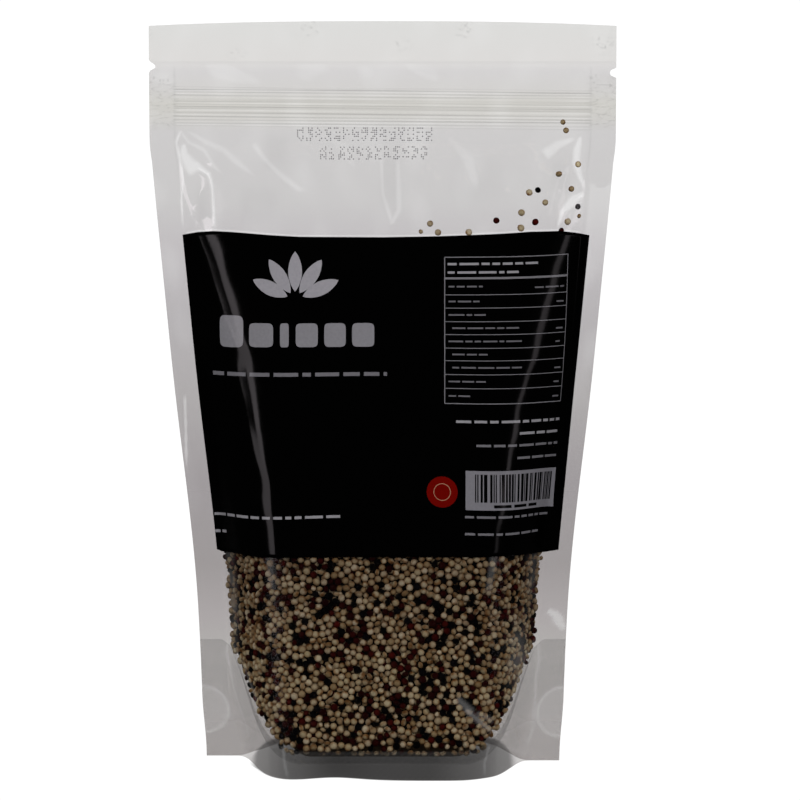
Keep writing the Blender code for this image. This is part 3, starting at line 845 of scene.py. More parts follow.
def seal_knurl(tree, apart):
    """Height of the top seal's cross-hatch: crossed waves a millimetre apart, in the seal alone."""
    waved = []
    for axis in ("X", "Z"):
        turns = add(tree, "ShaderNodeMath", {1: 2 * math.pi / (KNURL_PITCH * MM)}, {0: (apart, axis)},
                    operation="MULTIPLY")
        waved.append(add(tree, "ShaderNodeMath", links={0: (turns, "Value")}, operation="SINE"))
    cross = add(tree, "ShaderNodeMath", links={0: (waved[0], "Value"), 1: (waved[1], "Value")},
                operation="MULTIPLY")
    above = add(tree, "ShaderNodeMath", {1: SEAL_BOTTOM * MM}, {0: (apart, "Z")}, operation="GREATER_THAN")
    return add(tree, "ShaderNodeMath", links={0: (cross, "Value"), 1: (above, "Value")},
               operation="MULTIPLY")


def sling(across, swing):
    """Points of the bottom film between its seals: straight from the front seal to the back one,
    as `swing` goes from -1 to 1, and let down by (1 - |swing| ** 2.6) times its slack."""
    leave = leave_height(across)
    taut = smooth(look_up(TABLE_X, across, leave), SLACK_FULL, SLACK_NONE)
    slack = (leave - BASE_CLEAR) * (1.0 - taut)
    t = ((swing + 1.0) / 2)[..., None]
    front = film_point(across, leave, -PLY_GAP / 2)
    back = film_point(across, leave, -PLY_GAP / 2, True)
    points = front * (1 - t) + back * t
    points[..., 2] -= slack * (1.0 - np.abs(swing) ** SLING_POWER)
    return points


def make_base_film(material):
    """The folded bottom film: up inside the front to the seal line, slung under the filling to the
    back, and down inside the back. In the side seals it lies folded between the plies."""
    seal_rows, sling_rows = 14, 41
    columns = film_columns(BASE_STEP)
    leave = leave_height(columns)
    across, climb = np.meshgrid(columns, np.linspace(0.0, 1.0, seal_rows))
    front, back = (film_point(across, climb * leave, -PLY_GAP / 2, side) for side in (False, True))
    across, swing = np.meshgrid(columns, np.linspace(-1.0, 1.0, sling_rows)[1:-1])
    points = np.concatenate([front, sling(across, swing), back[::-1]])
    return put_mesh("base_film", points, grid_faces(len(points), len(columns), turned=True), material)


def make_label(material):
    """The sticker: a thin closed plate that follows the film, between wavy lower and upper edges
    that the rows share out evenly."""
    rows, columns = 90, 150
    share, place = np.meshgrid(np.linspace(0, 1, rows), np.linspace(0, 1, columns), indexing="ij")
    level = LABEL_BOTTOM + LABEL_TALL * share
    right = LABEL_RIGHT + LABEL_SPREAD * smooth(LABEL_SPREAD_TOP - level, 0.0, LABEL_SPREAD_REACH)
    across = LABEL_LEFT + (right - LABEL_LEFT) * place
    foot = np.interp(across, *np.array(LABEL_FOOT).T)
    head = np.interp(across, *np.array(LABEL_HEAD).T)
    up = foot + (head - foot) * share
    front = off_film(across, up, PLY_GAP + LABEL_LIFT + LABEL_THICK)
    under = off_film(across, up, PLY_GAP + LABEL_LIFT)
    piece = put_mesh("label_sticker", *slab(front, under), material)
    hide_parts("label")


def print_place(across, up):
    """Where print lies on the bulging film: its lines droop towards the sides, more lower down,
    and the outer print spreads a little there."""
    outer = smooth(np.abs(across), SPREAD_FROM, SPREAD_FULL)
    spread = across * (1.0 + PRINT_SPREAD * (SPREAD_TOP - up) * outer)
    lower = np.clip((DROOP_TOP - up) / DROOP_REACH, 0.0, 1.0)
    return spread, up - PRINT_DROOP * (across / HALF_FILM) ** 2 * lower


def patch(low_left, low_right, high_right, high_left):
    """A flat four-cornered patch of print as a fine grid, straight between its corners."""
    corners = np.array([low_left, low_right, high_right, high_left], float)
    wide = max(2, int(np.ptp(corners[:, 0]) / 1.2) + 2)
    tall = max(2, int(np.ptp(corners[:, 1]) / 2.5) + 2)
    v, u = np.meshgrid(np.linspace(0, 1, tall), np.linspace(0, 1, wide), indexing="ij")
    u, v = u[..., None], v[..., None]
    return (corners[0] * (1 - u) + corners[1] * u) * (1 - v) + (corners[3] * (1 - u) + corners[2] * u) * v


def bar(left, right, bottom, top):
    """An upright rectangle of print."""
    return patch((left, bottom), (right, bottom), (right, top), (left, top))


def leaf(foot, length, width, lean):
    """A leaf from its foot: half width times sin(pi t) to the power 0.75, leaning from upright."""
    power = 0.75
    t, side = np.meshgrid(np.linspace(0, 1, 15), np.linspace(-1, 1, 5), indexing="ij")
    out = side * width / 2 * np.sin(math.pi * t) ** power
    run = t * length
    turn = math.radians(lean)
    across = foot[0] + run * math.sin(turn) + out * math.cos(turn)
    return np.stack([across, foot[1] + run * math.cos(turn) - out * math.sin(turn)], -1)


def ring(centre, inner, outer):
    """A flat ring of print, or a disc where the inner radius is nothing."""
    turn, radius = np.meshgrid(np.linspace(0, -2 * math.pi, 49), np.linspace(inner, outer, 5), indexing="ij")
    return np.stack([centre[0] + radius * np.cos(turn), centre[1] + radius * np.sin(turn)], -1)


# Strokes of small print: half height for each size, shortest and longest
STROKE_HALF, STROKE_SHORTEST, STROKE_LONGEST = 0.31, 1.6, 6.0


def words(left, right, middle, tall, rng):
    """A line of small print as plain strokes with gaps between them, as long as words are."""
    found, at = [], left
    while at < right - 0.8:
        long = rng.uniform(STROKE_SHORTEST, STROKE_LONGEST) * (0.6 + 0.4 * tall)
        end = min(at + long, right)
        found.append(bar(at, end, middle - STROKE_HALF * tall, middle + STROKE_HALF * tall))
        at = end + 0.6 * tall + 0.2
    return found


def block(left, right, bottom, top):
    """A block of print with rounded corners: |x| ** 6 + |y| ** 6 = 1, filled from its middle."""
    power = 6
    turn, size = np.meshgrid(np.linspace(0, -2 * math.pi, 61), np.linspace(0.0, 1.0, 5), indexing="ij")
    x, y = np.cos(turn), np.sin(turn)
    size = size / (np.abs(x) ** power + np.abs(y) ** power) ** (1 / power)
    return np.stack([(left + right) / 2 + (right - left) / 2 * size * x,
                     (bottom + top) / 2 + (top - bottom) / 2 * size * y], -1)


def table_print(rng):
    """The framed table at the upper right: outline and rules, then heads and rows of strokes."""
    left, right, bottom, top = TABLE_PRINT
    thin = TABLE_FRAME_HALF
    lines = [bar(left, right, at - thin, at + thin) for at in (top, bottom)]
    lines += [bar(at - thin, at + thin, bottom, top) for at in (left, right)]
    halves = [HEAD_RULE_HALF] + [RULE_HALF] * (len(TABLE_RULES) - 1)
    lines += [bar(left, right, rule - half, rule + half) for rule, half in zip(TABLE_RULES, halves)]
    heads = []
    for reach, down in TABLE_HEADS:
        heads += words(left + 0.9, left + reach, top - down, TABLE_HEAD_SIZE, rng)
    small = []
    edges = TABLE_RULES + [bottom]
    for number, (over, under, reach) in enumerate(zip(edges[:-1], edges[1:], TABLE_REACHES)):
        middle = (over + under) / 2
        indent = 1.2 + 1.2 * (number in INDENTED_ROWS)
        small += words(left + indent, left + reach, middle, TABLE_TEXT_SIZE, rng)
        if number not in ROWS_WITHOUT_VALUE:
            wide = VALUE_WIDE if number else FIRST_VALUE_WIDE
            small += words(right - 1.4 - wide, right - 1.4, middle - 0.6, TABLE_TEXT_SIZE, rng)
    return lines, heads, small


def put_print(name, patches, material, lift, back=False, droop=True):
    """All patches of one ink as one piece, laid on the label or on the film."""
    points, faces, first = [], [], 0
    for grid in patches:
        across, up = grid[..., 0], grid[..., 1]
        if droop:
            across, up = print_place(across, up)
        points.append(off_film(across, up, np.full(across.shape, lift), back).reshape(-1, 3))
        faces += grid_faces(*across.shape, first, turned=back)
        first += across.size
    piece = put_mesh(name, np.concatenate(points), faces, material)
    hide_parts("pouch" if back else "label")


def sprig_leaves():
    """Five leaves that stand out of one foot like a fan."""
    leaves = []
    for lean in LEAF_LEANS:
        turn = math.radians(lean)
        foot = (SPRIG_FOOT[0] + LEAF_GAP * math.sin(turn), SPRIG_FOOT[1] + LEAF_GAP * math.cos(turn))
        leaves.append(leaf(foot, LEAF_LENGTH, LEAF_WIDTH, lean))
    return leaves


def stripes_print(rng):
    """The striped panel's marks: a short line of strokes under stripes of uneven width."""
    left, right, bottom, top = PANEL_PRINT
    stripes = words(left + 9.0, left + 29.0, bottom + 1.2, 1.5, rng)
    at = left + 3.0
    while at < right - 2.2:
        wide = rng.choice(STRIPE_WIDTHS)
        stripes.append(bar(at, at + wide, bottom + 2.5, top - 1.1))
        at += wide + rng.choice(STRIPE_GAPS)
    return stripes


def make_print():
    """The label's print as plain shapes: a sprig, a heavy line, a table, a striped panel, a disc
    and strokes in place of small print."""
    rng = np.random.default_rng(12)
    frame_lines, bold, small = table_print(rng)
    fine = [stroke for line in FINE_LINES for stroke in words(*line, rng)]
    bold += [stroke for line in BOLD_LINES for stroke in words(*line, rng)]
    stripes = stripes_print(rng)
    on_label = PLY_GAP + LABEL_LIFT + LABEL_THICK + PRINT_CLEAR
    over_print = on_label + OVERPRINT_CLEAR
    for name, patches, ink_name, code, lift in (
        ("sprig_print", sprig_leaves(), "silver ink", "#a19ea4", on_label),
        ("heavy_print", [block(*sides) for sides in HEAVY_BLOCKS], "silver grey ink", "#8a888d", on_label),
        ("table_lines", frame_lines, "rule grey ink", "#7d7b80", on_label),
        ("bold_print", bold, "pale grey ink", "#98969b", on_label),
        ("fine_print", fine, "mid grey ink", "#747277", on_label),
        ("small_print", small, "dim grey ink", "#6a686d", on_label),
        ("striped_panel", [bar(*PANEL_PRINT)], "panel ink", "#828086", on_label),
        ("panel_stripes", stripes, "black ink", "#040404", over_print),
        ("red_disc", [ring(DISC_MIDDLE, 0.0, DISC_RADIUS)], "red ink", "#6e0702", on_label),
        ("disc_ring", [ring(DISC_MIDDLE, *DISC_RING)], "pale disc ink", "#a9775f", over_print),
    ):
        put_print(name, patches, ink(ink_name, code), lift)


def make_stamp():
    """The ink jet's stamp on the back, near the zip strip: two rows of dots in loose clusters."""
    rng = np.random.default_rng(5)
    dots = []
    for start, clusters, top in STAMP_ROWS:
        for cluster in range(clusters):
            left = start + STAMP_PITCH * cluster
            for row in range(DOT_ROWS):
                for column in range(DOT_COLUMNS):
                    if rng.random() < DOT_SHARE:
                        middle = (left + DOT_ACROSS * column, top - DOT_DOWN * row)
                        dots.append(ring(middle, 0.0, DOT_RADIUS)[::8, ::4])
    put_print("stamp_dots", dots, ink("ink jet dots", "#4c4953", 0.5), PLY_GAP + 0.06, True, droop=False)


# A seed's beak: its rise over the rim and half width as an angle; then the power that flattens its
# top, how strongly its rim's band and its germ's stain show, and where and how wide the stain is
BEAK_RISE, BEAK_HALF = 0.07, 0.5
CAP_POWER = 0.8
RIM_MARK, GERM_MARK = 0.6, 0.9
GERM_AT, GERM_SPREAD = 0.85, 0.13


def seed_shape(segments, rings):
    """A plump disc: round from above, flattened at its poles, with a slight beak on its rim.

    Radius is sin(a), and height is the flatness times cos(a) to the power 0.8, at polar angles
    `rings`. The germ shows as a stain at the beak and a faint band round the rim.
    """
    turn = np.arange(segments) * 2 * math.pi / segments
    beak = BEAK_RISE * bell(np.minimum(turn, 2 * math.pi - turn), BEAK_HALF)
    rows = []
    for angle in rings:
        radius = math.sin(angle) * (1 + beak * math.sin(angle) ** 2)
        height = SEED_FLATNESS * math.copysign(abs(math.cos(angle)) ** CAP_POWER, math.cos(angle))
        rows.append(np.stack([radius * np.cos(turn), radius * np.sin(turn), height + 0 * turn], -1))
    points = np.concatenate([[[0, 0, SEED_FLATNESS]], *rows, [[0, 0, -SEED_FLATNESS]]])
    last = len(points) - 1
    faces = [[0, 1 + i, 1 + (i + 1) % segments] for i in range(segments)]
    for r in range(len(rings) - 1):
        a = 1 + r * segments
        faces += [[a + i, a + segments + i, a + segments + (i + 1) % segments, a + (i + 1) % segments]
                  for i in range(segments)]
    a = 1 + (len(rings) - 1) * segments
    faces += [[last, a + (i + 1) % segments, a + i] for i in range(segments)]
    rim = smooth(np.hypot(points[:, 0], points[:, 1]), 0.55, 1.02)
    stain = np.exp(-(((points[:, 0] - GERM_AT) ** 2 + points[:, 1] ** 2) / GERM_SPREAD))
    return points, faces, np.clip(RIM_MARK * rim + GERM_MARK * stain, 0, 1)


FULL_SEED = seed_shape(10, [math.radians(a) for a in (30, 62, 90, 118, 150)])
MIDDLING_SEED = seed_shape(8, [math.radians(a) for a in (40, 90, 140)])
LEAN_SEED = seed_shape(6, [math.radians(a) for a in (55, 125)])


# How seeds are pushed apart: fresh lists of neighbours, pushes for each list, share of each push
NEIGHBOUR_ROUNDS, PUSHES, PUSH_SHARE = 9, 7, 0.45


def packed(wide, span, radii, rng):
    """Places for discs of the given radii on a sheet: thrown at random, then pushed apart where
    they overlap, each by a share of the overlap at a time, until they lie as loose seeds do."""
    count = len(radii)
    places = np.column_stack([rng.uniform(-wide, wide, count), rng.uniform(*span, count)])
    reach = 2.3 * radii.max()
    for _ in range(NEIGHBOUR_ROUNDS):
        tree = KDTree(count)
        for number, (across, up) in enumerate(places.tolist()):
            tree.insert((across, up, 0.0), number)
        tree.balance()
        near = [(n, m) for n, (a, u) in enumerate(places.tolist())
                for _, m, _ in tree.find_range((a, u, 0.0), reach) if m > n]
        one, two = np.array(near).T
        for _ in range(PUSHES):
            run = places[two] - places[one]
            apart = np.maximum(np.hypot(*run.T), 1e-3)
            push = np.clip(radii[one] + radii[two] - apart, 0.0, None) * PUSH_SHARE / apart
            move = run * push[:, None]
            np.add.at(places, two, move)
            np.add.at(places, one, -move)
            places[:, 0] = np.clip(places[:, 0], -wide, wide)
            places[:, 1] = np.clip(places[:, 1], *span)
    return places


def seed_radii(wide, span, cover, rng):
    """Radii of as many seeds as cover the given share of a sheet."""
    count = int(cover * 2 * wide * (span[1] - span[0]) / (math.pi * SEED_RADIUS**2))
    smallest, largest = SEED_RADIUS * 0.78, SEED_RADIUS * 1.2
    return rng.normal(SEED_RADIUS, SEED_SPREAD, count).clip(smallest, largest)


# Seeds on the film: their usual tilt in degrees, the share that stand on edge, their least tilt,
# and how unevenly deep they lie. Then how closely seeds cover the film, the layer behind it, the
# top of the heap and the base, and from where to where in depth the last two reach
USUAL_TILT, ON_EDGE_SHARE, ON_EDGE_TILT = 30, 0.14, 55
UNEVEN_DEPTH, LEAST_ROOM = 0.55, 0.62
FILM_COVER, BEHIND_COVER, BEHIND_BY, HEAP_COVER, BASE_COVER = 0.90, 0.80, 1.35, 0.9, 0.95
HEAP_SPAN, BASE_SPAN = (-26.0, 26.0), (-28.0, 28.0)
# How steeply the camera looks down, as a fall over a run, and how far out the base's seeds lie
SIGHT_SLOPE, BASE_REACH = 0.153, 64.0


def seeds_on_film(places, size, back, deeper, rng):
    """Centres, axes and sizes of seeds that lie against the inside of the film."""
    across, up = places.T
    point, run, rise, out = film_frame(across, up, back)
    count = len(across)
    tilt = np.abs(rng.normal(0.0, math.radians(USUAL_TILT), count))
    stands = rng.random(count) < ON_EDGE_SHARE
    tilt = np.where(stands, rng.uniform(math.radians(ON_EDGE_TILT), math.radians(90), count), tilt)
    spin = rng.uniform(0, 2 * math.pi, count)
    flat = np.cos(spin)[:, None] * run + np.sin(spin)[:, None] * rise
    axis = np.cos(tilt)[:, None] * out + np.sin(tilt)[:, None] * flat
    reach = size * np.sqrt(np.sin(tilt) ** 2 + (SEED_FLATNESS * np.cos(tilt)) ** 2)
    inward = reach + deeper + rng.uniform(0, UNEVEN_DEPTH, count)
    centre = point - inward[:, None] * out
    centre[:, 1] = np.sign(point[:, 1]) * np.maximum(np.abs(centre[:, 1]), 0.1)
    room = np.abs(point[:, 1]) / reach
    size = size * np.clip(room * 1.05, 0.0, 1.0)
    fits = (room > LEAST_ROOM) & (up > 1.0)
    return centre[fits], axis[fits], size[fits]


def seed_turns(axis, rng):
    """Rotation matrices whose third column is the seed's axis, spun at random about it."""
    helper = rng.normal(size=axis.shape)
    first = np.cross(helper, axis)
    first /= np.linalg.norm(first, axis=1, keepdims=True)
    return np.stack([first, np.cross(axis, first), axis], axis=-1)


def join_seeds(groups, rng):
    """Every seed of the groups as one set of points, faces and attributes."""
    points, faces, tones, germs, first = [], [], [], [], 0
    for (shape, shape_faces, germ), centre, axis, size in groups:
        turns = seed_turns(axis, rng)
        placed = centre[:, None] + size[:, None, None] * np.einsum("nij,vj->nvi", turns, shape)
        points.append(placed.reshape(-1, 3))
        offsets = first + np.arange(len(centre)) * len(shape)
        for face in shape_faces:
            faces += (offsets[:, None] + np.array(face)[None, :]).tolist()
        tones.append(np.repeat(rng.random(len(centre)), len(shape)))
        strength = rng.uniform(0.5, 1.0, len(centre))
        germs.append(np.tile(germ, len(centre)) * np.repeat(strength, len(shape)))
        first += len(centre) * len(shape)
    return np.concatenate(points), faces, np.concatenate(tones), np.concatenate(germs)


def above_base(places, margin):
    """Which places lie above the bottom film's seal line by the margin."""
    across, up = places.T
    return up > seal_line(look_up(TABLE_X, across, up)) + margin


def base_seeds(side, rng):
    """Seeds that lie on one half of the bottom film, spread evenly along its slope.

    None lie where a line of sight from the front passes well under the seal, in the hazy skirt.
    """
    line = np.linspace(0.0, BASE_REACH, 300)
    slope = sling(line, np.zeros_like(line))
    run = np.concatenate([[0.0], np.cumsum(np.hypot(np.diff(slope[:, 0]), np.diff(slope[:, 2])))])
    radii = seed_radii(run[-1] / 2, BASE_SPAN, BASE_COVER, rng)
    places = packed(run[-1] / 2, BASE_SPAN, radii, rng)
    across = side * np.interp(places[:, 0] + run[-1] / 2, run, line)
    deep = np.abs(sling(across, np.full_like(across, -1.0))[:, 1])
    inside = np.abs(places[:, 1]) < deep - 2.0
    across, radii, swing = across[inside], radii[inside], (places[:, 1] / deep)[inside]
    point = sling(across, swing)
    sight = point[:, 2] + 1.0 + SIGHT_SLOPE * (point[:, 1] + deep[inside])
    shown = sight < leave_height(across) + 1.0 - 2.2 * smooth(40.0 - np.abs(across), 0.0, 6.0)
    across, radii, swing, point = across[~shown], radii[~shown], swing[~shown], point[~shown]
    out = np.cross(sling(across + 0.2, swing) - point, sling(across, swing + 0.02) - point)
    out *= np.sign(out[:, 2:]) / np.linalg.norm(out, axis=1, keepdims=True)
    axis = out + rng.normal(0.0, 0.45, out.shape)
    axis /= np.linalg.norm(axis, axis=1, keepdims=True)
    return MIDDLING_SEED, point + (0.92 * radii)[:, None] * out, axis, radii


def seed_bed():
    """All seeds of the filling: a close layer against the film, a second one behind it, and the
    top of the heap. On the front none lie behind the label, where nothing shows them."""
    rng = RNG
    wide = HALF_FILM - 0.6
    found = []
    for back in (False, True):
        span = (2.0, FILL_TOP if back else LABEL_BOTTOM + 4)
        outer = MIDDLING_SEED if back else FULL_SEED
        for shape, cover, deeper in ((outer, FILM_COVER, 0.0), (LEAN_SEED, BEHIND_COVER, BEHIND_BY)):
            radii = seed_radii(wide, span, cover, rng)
            places = packed(wide, span, radii, rng)
            keep = above_base(places, 0.3)
            found.append((shape, *seeds_on_film(places[keep], radii[keep], back, deeper, rng)))
    level = np.interp(FILL_TOP, UPS, HALVES)
    radii = seed_radii(level, HEAP_SPAN, HEAP_COVER, rng)
    places = packed(level, HEAP_SPAN, radii, rng)
    inside = np.abs(places[:, 1]) < section(places[:, 0] / level, np.full(len(places), FILL_TOP)) - 1.0
    places, radii = places[inside], radii[inside]
    heap = FILL_TOP - 1.0 + 1.5 * np.sin(places[:, 0] / 19.0) + rng.uniform(-0.5, 0.5, len(places))
    axis = rng.normal(size=(len(places), 3)) + [0, 0, 1.2]
    axis /= np.linalg.norm(axis, axis=1, keepdims=True)
    found.append((MIDDLING_SEED, np.column_stack([places, heap]), axis, radii))
    return found + [base_seeds(side, rng) for side in (-1, 1)]


# Loose seeds over the label: across, up, kind by its number in SEED_KINDS, share of the usual size
LOOSE_SEEDS = [
    (57.2, 207.0, 1, 0.78), (58.2, 204.4, 1, 0.86), (62.9, 193.7, 0, 0.9), (56.6, 190.8, 1, 0.95),
    (46.8, 185.4, 0, 1.0), (49.6, 186.1, 3, 0.88), (61.0, 185.9, 1, 0.86), (52.2, 182.1, 0, 0.9),
    (64.1, 180.1, 3, 0.88), (64.8, 177.1, 1, 0.65), (44.3, 179.2, 0, 1.0), (36.1, 176.9, 2, 0.92),
    (49.0, 176.1, 2, 1.0), (60.7, 175.6, 0, 1.0), (44.2, 174.4, 0, 1.05), (58.4, 172.9, 2, 0.85),
    (15.0, 176.1, 1, 0.9), (12.1, 173.6, 1, 0.65), (17.5, 173.4, 1, 0.95), (27.3, 173.4, 0, 1.0),
]
# Kinds: name, share, tones from dark to pale, rim's and germ's colours, roughness
SEED_KINDS = [
    ("cream_seeds", 0.36, [(0.0, "#ccbb93"), (0.5, "#e0d1ab"), (1.0, "#ecdfc0")], "#9a6a34", "#4a2206", 0.6),
    ("straw_seeds", 0.32, [(0.0, "#a98f66"), (0.4, "#c3ae88"), (1.0, "#d4c4a4")], "#84582a", "#42200a", 0.6),
    ("red_seeds", 0.18, [(0.0, "#240302"), (0.6, "#3e0805"), (1.0, "#5c110a")], "#2a0402", "#120101", 0.5),
    ("black_seeds", 0.14, [(0.0, "#020203"), (0.7, "#060507"), (1.0, "#100e12")], "#020202", "#020202", 0.45),
]


def loose_seeds(rng):
    """The few seeds that cling to the film above the label."""
    across, up, kind, share = np.array(LOOSE_SEEDS).T
    size = SEED_RADIUS * share
    point, run, _, out = film_frame(across, up)
    axis = out + rng.normal(0.0, 0.22, out.shape)
    axis /= np.linalg.norm(axis, axis=1, keepdims=True)
    centre = point - (0.75 * size)[:, None] * out
    return kind.astype(int), (FULL_SEED, centre, axis, size)


def make_seeds():
    """One joined mesh for each kind of seed, dealt at random over the whole filling."""
    bed = seed_bed()
    rng = RNG
    shares = [kind[1] for kind in SEED_KINDS]
    kinds = [rng.choice(len(SEED_KINDS), len(centre), p=shares) for _, centre, _, _ in bed]
    kind, group = loose_seeds(rng)
    kinds.append(kind)
    bed.append(group)
    pieces = []
    for number, (name, _, tones, rim, germ, roughness) in enumerate(SEED_KINDS):
        groups = [(shape, centre[kind == number], axis[kind == number], size[kind == number])
                  for (shape, centre, axis, size), kind in zip(bed, kinds)]
        points, faces, tone, mark = join_seeds(groups, rng)
        coat = seed_coat(name.replace("_", " ") + " coat", tones, rim, germ, roughness)
        pieces.append(put_mesh(name, points, faces, coat, {"tone": tone, "mark": mark}))
    return pieces


def make_core(material):
    """The deeper filling: a closed lump that stays two layers of seeds inside the film all round.

    Each column is a ring: down the front, along the bottom film, up the back and over the top.
    Its underside is a dim brown and its sides are nearly black: painted shade, as dark as the shaded gaps
    between seeds.
    """
    inside, top = 3.0, FILL_TOP - 2.4
    side_rows, cross_rows = 40, 11
    places = np.linspace(-1.0, 1.0, 61)
    down, over = np.linspace(1.0, 0.0, side_rows), np.linspace(-1.0, 1.0, cross_rows + 2)[1:-1]
    foot_half = HALVES[30]
    rings = []
    for place in places:
        foot = place * (foot_half - inside)
        bottom = float(seal_line(np.array(foot))) + inside
        up = bottom + (top - bottom) * down
        half = np.interp(up, UPS, HALVES)
        x = place * (half - inside)
        y = np.maximum(section(x / half, up) - inside, 0.1)
        front = np.stack([x, -y, up], axis=-1)
        back = np.stack([x, y, up], axis=-1)[::-1]
        sag = (bottom - BASE_CLEAR - 2.6) * float(smooth(-abs(foot), -38.0, -24.0))
        low_row = bottom - sag * (1 - np.abs(over) ** 3)
        under = np.stack([np.full(cross_rows, x[-1]), over * y[-1], low_row], -1)
        lid = np.stack([np.full(cross_rows, x[0]), -over * y[0], np.full(cross_rows, top)], -1)
        rings.append(np.concatenate([front, under, back, lid]))
    points = np.array(rings)
    columns, around = points.shape[:2]
    underside = slice(side_rows - 2, side_rows + cross_rows + 2)
    tone = np.zeros((columns, around))
    tone[:, underside] = RNG.uniform(0.55, 1.0, (columns, cross_rows + 4))
    index = np.arange(columns * around).reshape(columns, around)
    index = np.concatenate([index, index[:, :1]], axis=1)
    quads = np.stack([index[:-1, :-1], index[:-1, 1:], index[1:, 1:], index[1:, :-1]], -1).reshape(-1, 4)
    faces = quads.tolist() + [list(range(around))[::-1], (index[-1, :-1]).tolist()]
    return put_mesh("seed_core", points, faces, material, {"tone": tone})


def sheet_of_light(name, points, faces, glow, tint="#ffffff"):
    """A sheet that gives off light, as strong at each corner as `glow` says."""
    mesh = bpy.data.meshes.new(name)
    mesh.from_pydata(points.reshape(-1, 3).tolist(), [], faces)
    layer = mesh.attributes.new("glow", "FLOAT", "POINT")
    layer.data.foreach_set("value", np.asarray(glow, np.float32).reshape(-1))
    material, tree = new_material(name)
    level = add(tree, "ShaderNodeAttribute", attribute_name="glow")
    light = add(tree, "ShaderNodeEmission", {"Color": linear(tint)}, {"Strength": (level, "Fac")})
    add(tree, "ShaderNodeOutputMaterial", links={"Surface": (light, "Emission")})
    mesh.materials.append(material)
    sheet = bpy.data.objects.new(name, mesh)
    bpy.context.scene.collection.objects.link(sheet)
    sheet.visible_diffuse = False
    return sheet


def backdrop():
    """Sheet of white paper under the bag. It glows overexposed white, with a painted shadow of the filling:
    dark under the foot, lighter towards the sides, and soft behind it."""
    near = np.arange(-66.0, 66.1, 0.6)
    places = np.concatenate([[-4000.0], near, [4000.0]])
    y, x = np.meshgrid(places, places, indexing="ij")
    line = np.linspace(-HALF_FILM, HALF_FILM, 267)
    edges = [film_point(line, np.zeros_like(line), PLY_GAP, back) for back in (False, True)]
    front, rear = [np.interp(x, edge[:, 0], np.abs(edge[:, 1]), 0.0, 0.0) for edge in edges]
    behind = rear + 14.0 * smooth(rear, 2.0, 18.0)
    inside = smooth(front + 0.3 + y, 0.0, 1.2) * smooth(behind - y, 0.0, 8.0) * smooth(front, 4.0, 12.0)
    outer = np.abs(x)
    darkest = 0.078 + 0.09 * smooth(outer, 14.0, 32.0) + 0.25 * smooth(outer, 28.0, 46.0)
    # Painted shadow: the paper glows less under and behind the foot
    glow = WHITE_PAPER + (darkest - WHITE_PAPER) * inside
    floor = sheet_of_light("floor", np.stack([x, y, 0.0 * x], -1) * MM, grid_faces(*x.shape), glow)
    floor.visible_glossy = False


def strip_card(side):
    """A tapering strip of light, seen only in glossy faces: the soft streak down the film."""
    up, out, wide, glow = np.array(STRIP_CARDS[side]).T
    across = out[:, None] + wide[:, None] / 2 * np.array([-1.0, 1.0])
    turn = math.radians(SIDE_ROUND)
    x = side * (SIDE_AWAY * math.sin(turn) + across * math.cos(turn))
    y = -SIDE_AWAY * math.cos(turn) + across * math.sin(turn)
    card = sheet_of_light("strip card", np.stack([x, y, up[:, None] + 0 * x], -1), grid_faces(*x.shape),
                          np.repeat(glow, 2), "#fff5fa")
    card.visible_camera = card.visible_transmission = card.visible_shadow = False


def lamp(name, place, turn, size, power):
    """A wide area light with `turn` in degrees, which doesn't show in glossy faces."""
    light = bpy.data.lights.new(name, "AREA")
    light.shape = "RECTANGLE"
    light.size, light.size_y = size
    light.energy = power
    made = bpy.data.objects.new(name, light)
    made.location = place
    made.rotation_euler = [math.radians(t) for t in turn]
    made.visible_glossy = False
    bpy.context.scene.collection.objects.link(made)


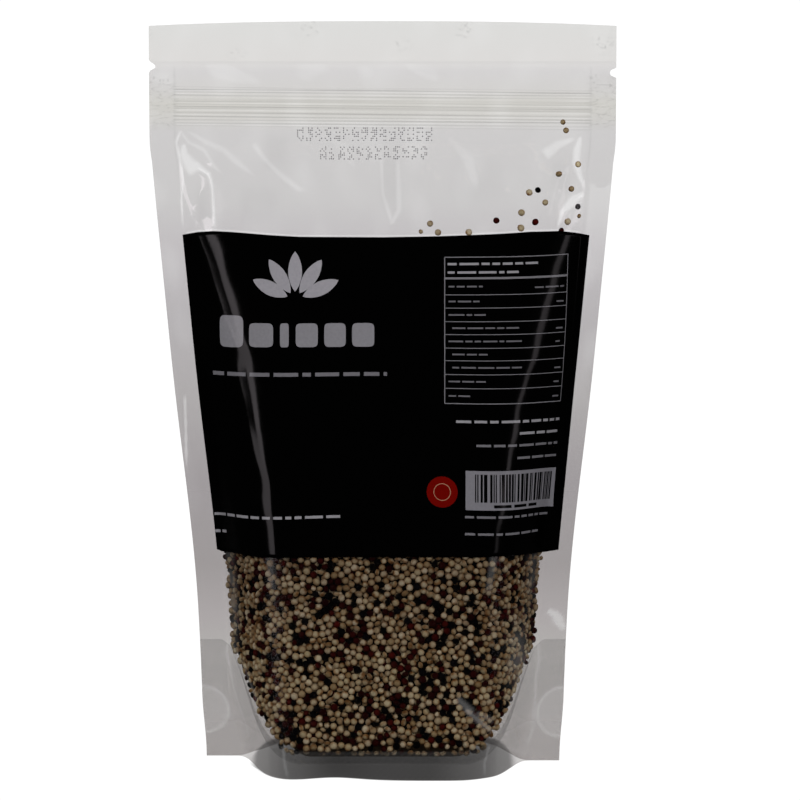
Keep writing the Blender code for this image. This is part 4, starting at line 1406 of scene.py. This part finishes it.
def studio():
    """Camera at the photograph's angle, lights, and surroundings that are dark in reflections."""
    scene = bpy.context.scene
    scene.view_settings.view_transform = "Standard"
    data = bpy.data.cameras.new("camera")
    data.sensor_width = SENSOR_WIDTH
    data.lens = FOCAL_PIXELS / FRAME_PIXELS * SENSOR_WIDTH
    camera = bpy.data.objects.new("camera", data)
    camera.location = (CAMERA_ACROSS, -CAMERA_AWAY, CAMERA_UP)
    camera.rotation_euler = (math.radians(90 - CAMERA_DOWN), 0.0, 0.0)
    scene.collection.objects.link(camera)
    scene.camera = camera

    world = bpy.data.worlds.new("studio")
    scene.world = world
    world.use_nodes = True
    tree = world.node_tree
    tree.nodes.clear()
    ray = add(tree, "ShaderNodeLightPath")
    around = add(tree, "ShaderNodeTexCoord")
    apart = add(tree, "ShaderNodeSeparateXYZ", links={"Vector": (around, "Generated")})
    behind = add(tree, "ShaderNodeMapRange",
                 {"From Min": 0.78, "From Max": 0.98, "To Min": 0.004, "To Max": 0.2},
                 {"Value": (apart, "Y")})
    soft = add(tree, "ShaderNodeBackground", {"Color": (1, 1, 1, 1), "Strength": 0.05})
    dark = add(tree, "ShaderNodeBackground", {"Color": (1, 1, 1, 1)}, {"Strength": (behind, "Result")})
    white = add(tree, "ShaderNodeBackground", {"Color": (1, 1, 1, 1), "Strength": WHITE_PAPER})
    first = add(tree, "ShaderNodeMixShader", links={"Fac": (ray, "Is Glossy Ray"), 1: (soft, "Background"),
                                                    2: (dark, "Background")})
    both = add(tree, "ShaderNodeMixShader", links={"Fac": (ray, "Is Camera Ray"), 1: (first, "Shader"),
                                                   2: (white, "Background")})
    add(tree, "ShaderNodeOutputWorld", links={"Surface": (both, "Shader")})

    for side in (-1, 1):
        strip_card(side)
        angle = math.radians(SIDE_ROUND * side)
        x, y = SIDE_AWAY * math.sin(angle), SIDE_AWAY * math.cos(angle)
        lamp("side fill", (x, -y, 0.4), (90, 0, SIDE_ROUND * side), (0.5, 0.6), 3.5)
        lamp("back side fill", (x, y, 0.4), (90, 0, (180 - SIDE_ROUND) * side), (0.5, 0.6), 3.0)
    lamp("front softbox", (0.0, -1.35, 0.85), (60, 0, 0), (0.7, 0.5), 12.2)
    lamp("back softbox", (0.0, 1.35, 0.85), (-60, 0, 0), (0.7, 0.5), 11.0)
    backdrop()


# The film's tint for each ply by share of the height, with painted shade: greyer lower down, greyest about a
# quarter of the way up
SHADED_FILM_TINTS = [(0.0, "#dbd8d7"), (0.165, "#d9d7d6"), (0.20, "#d6d3d3"), (0.27, "#cecbcb"),
              (0.38, "#cfcccd"), (0.49, "#d8d6d6"), (0.60, "#dddbdc"), (0.70, "#e4e2e3"),
              (0.76, "#e9e8e8"), (0.85, "#ebeaea"), (0.868, "#edecea"), (0.888, "#edece9"),
              (0.905, "#eeedec"), (0.93, "#efeeee"), (0.945, "#f4f3f2"), (1.0, "#f4f4f3")]


def main():
    """Film, filling, label, print and stamp, then the studio round them."""
    clear = laminate_film("clear laminate film", SHADED_FILM_TINTS, roughness=0.07)
    bottom = laminate_film("clear bottom film", [(0.0, "#fafafa"), (1.0, "#fafafa")], roughness=0.10,
                           steepness=0.05, edge_gloss=0.10)
    pieces = [
        make_film("film_front", False, clear),
        make_film("film_back", True, clear),
        make_base_film(bottom),
        # The core's dark coat is painted shade for the filling's depths
        make_core(seed_coat("deep seeds in painted shade", [(0.0, "#0d0805"), (1.0, "#8a7152")], "#0d0805", "#0d0805", 0.9)),
        *make_seeds(),
    ]
    for piece in pieces:
        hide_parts("pouch")
    make_label(label_vinyl())
    make_print()
    make_stamp()
    studio()


main()
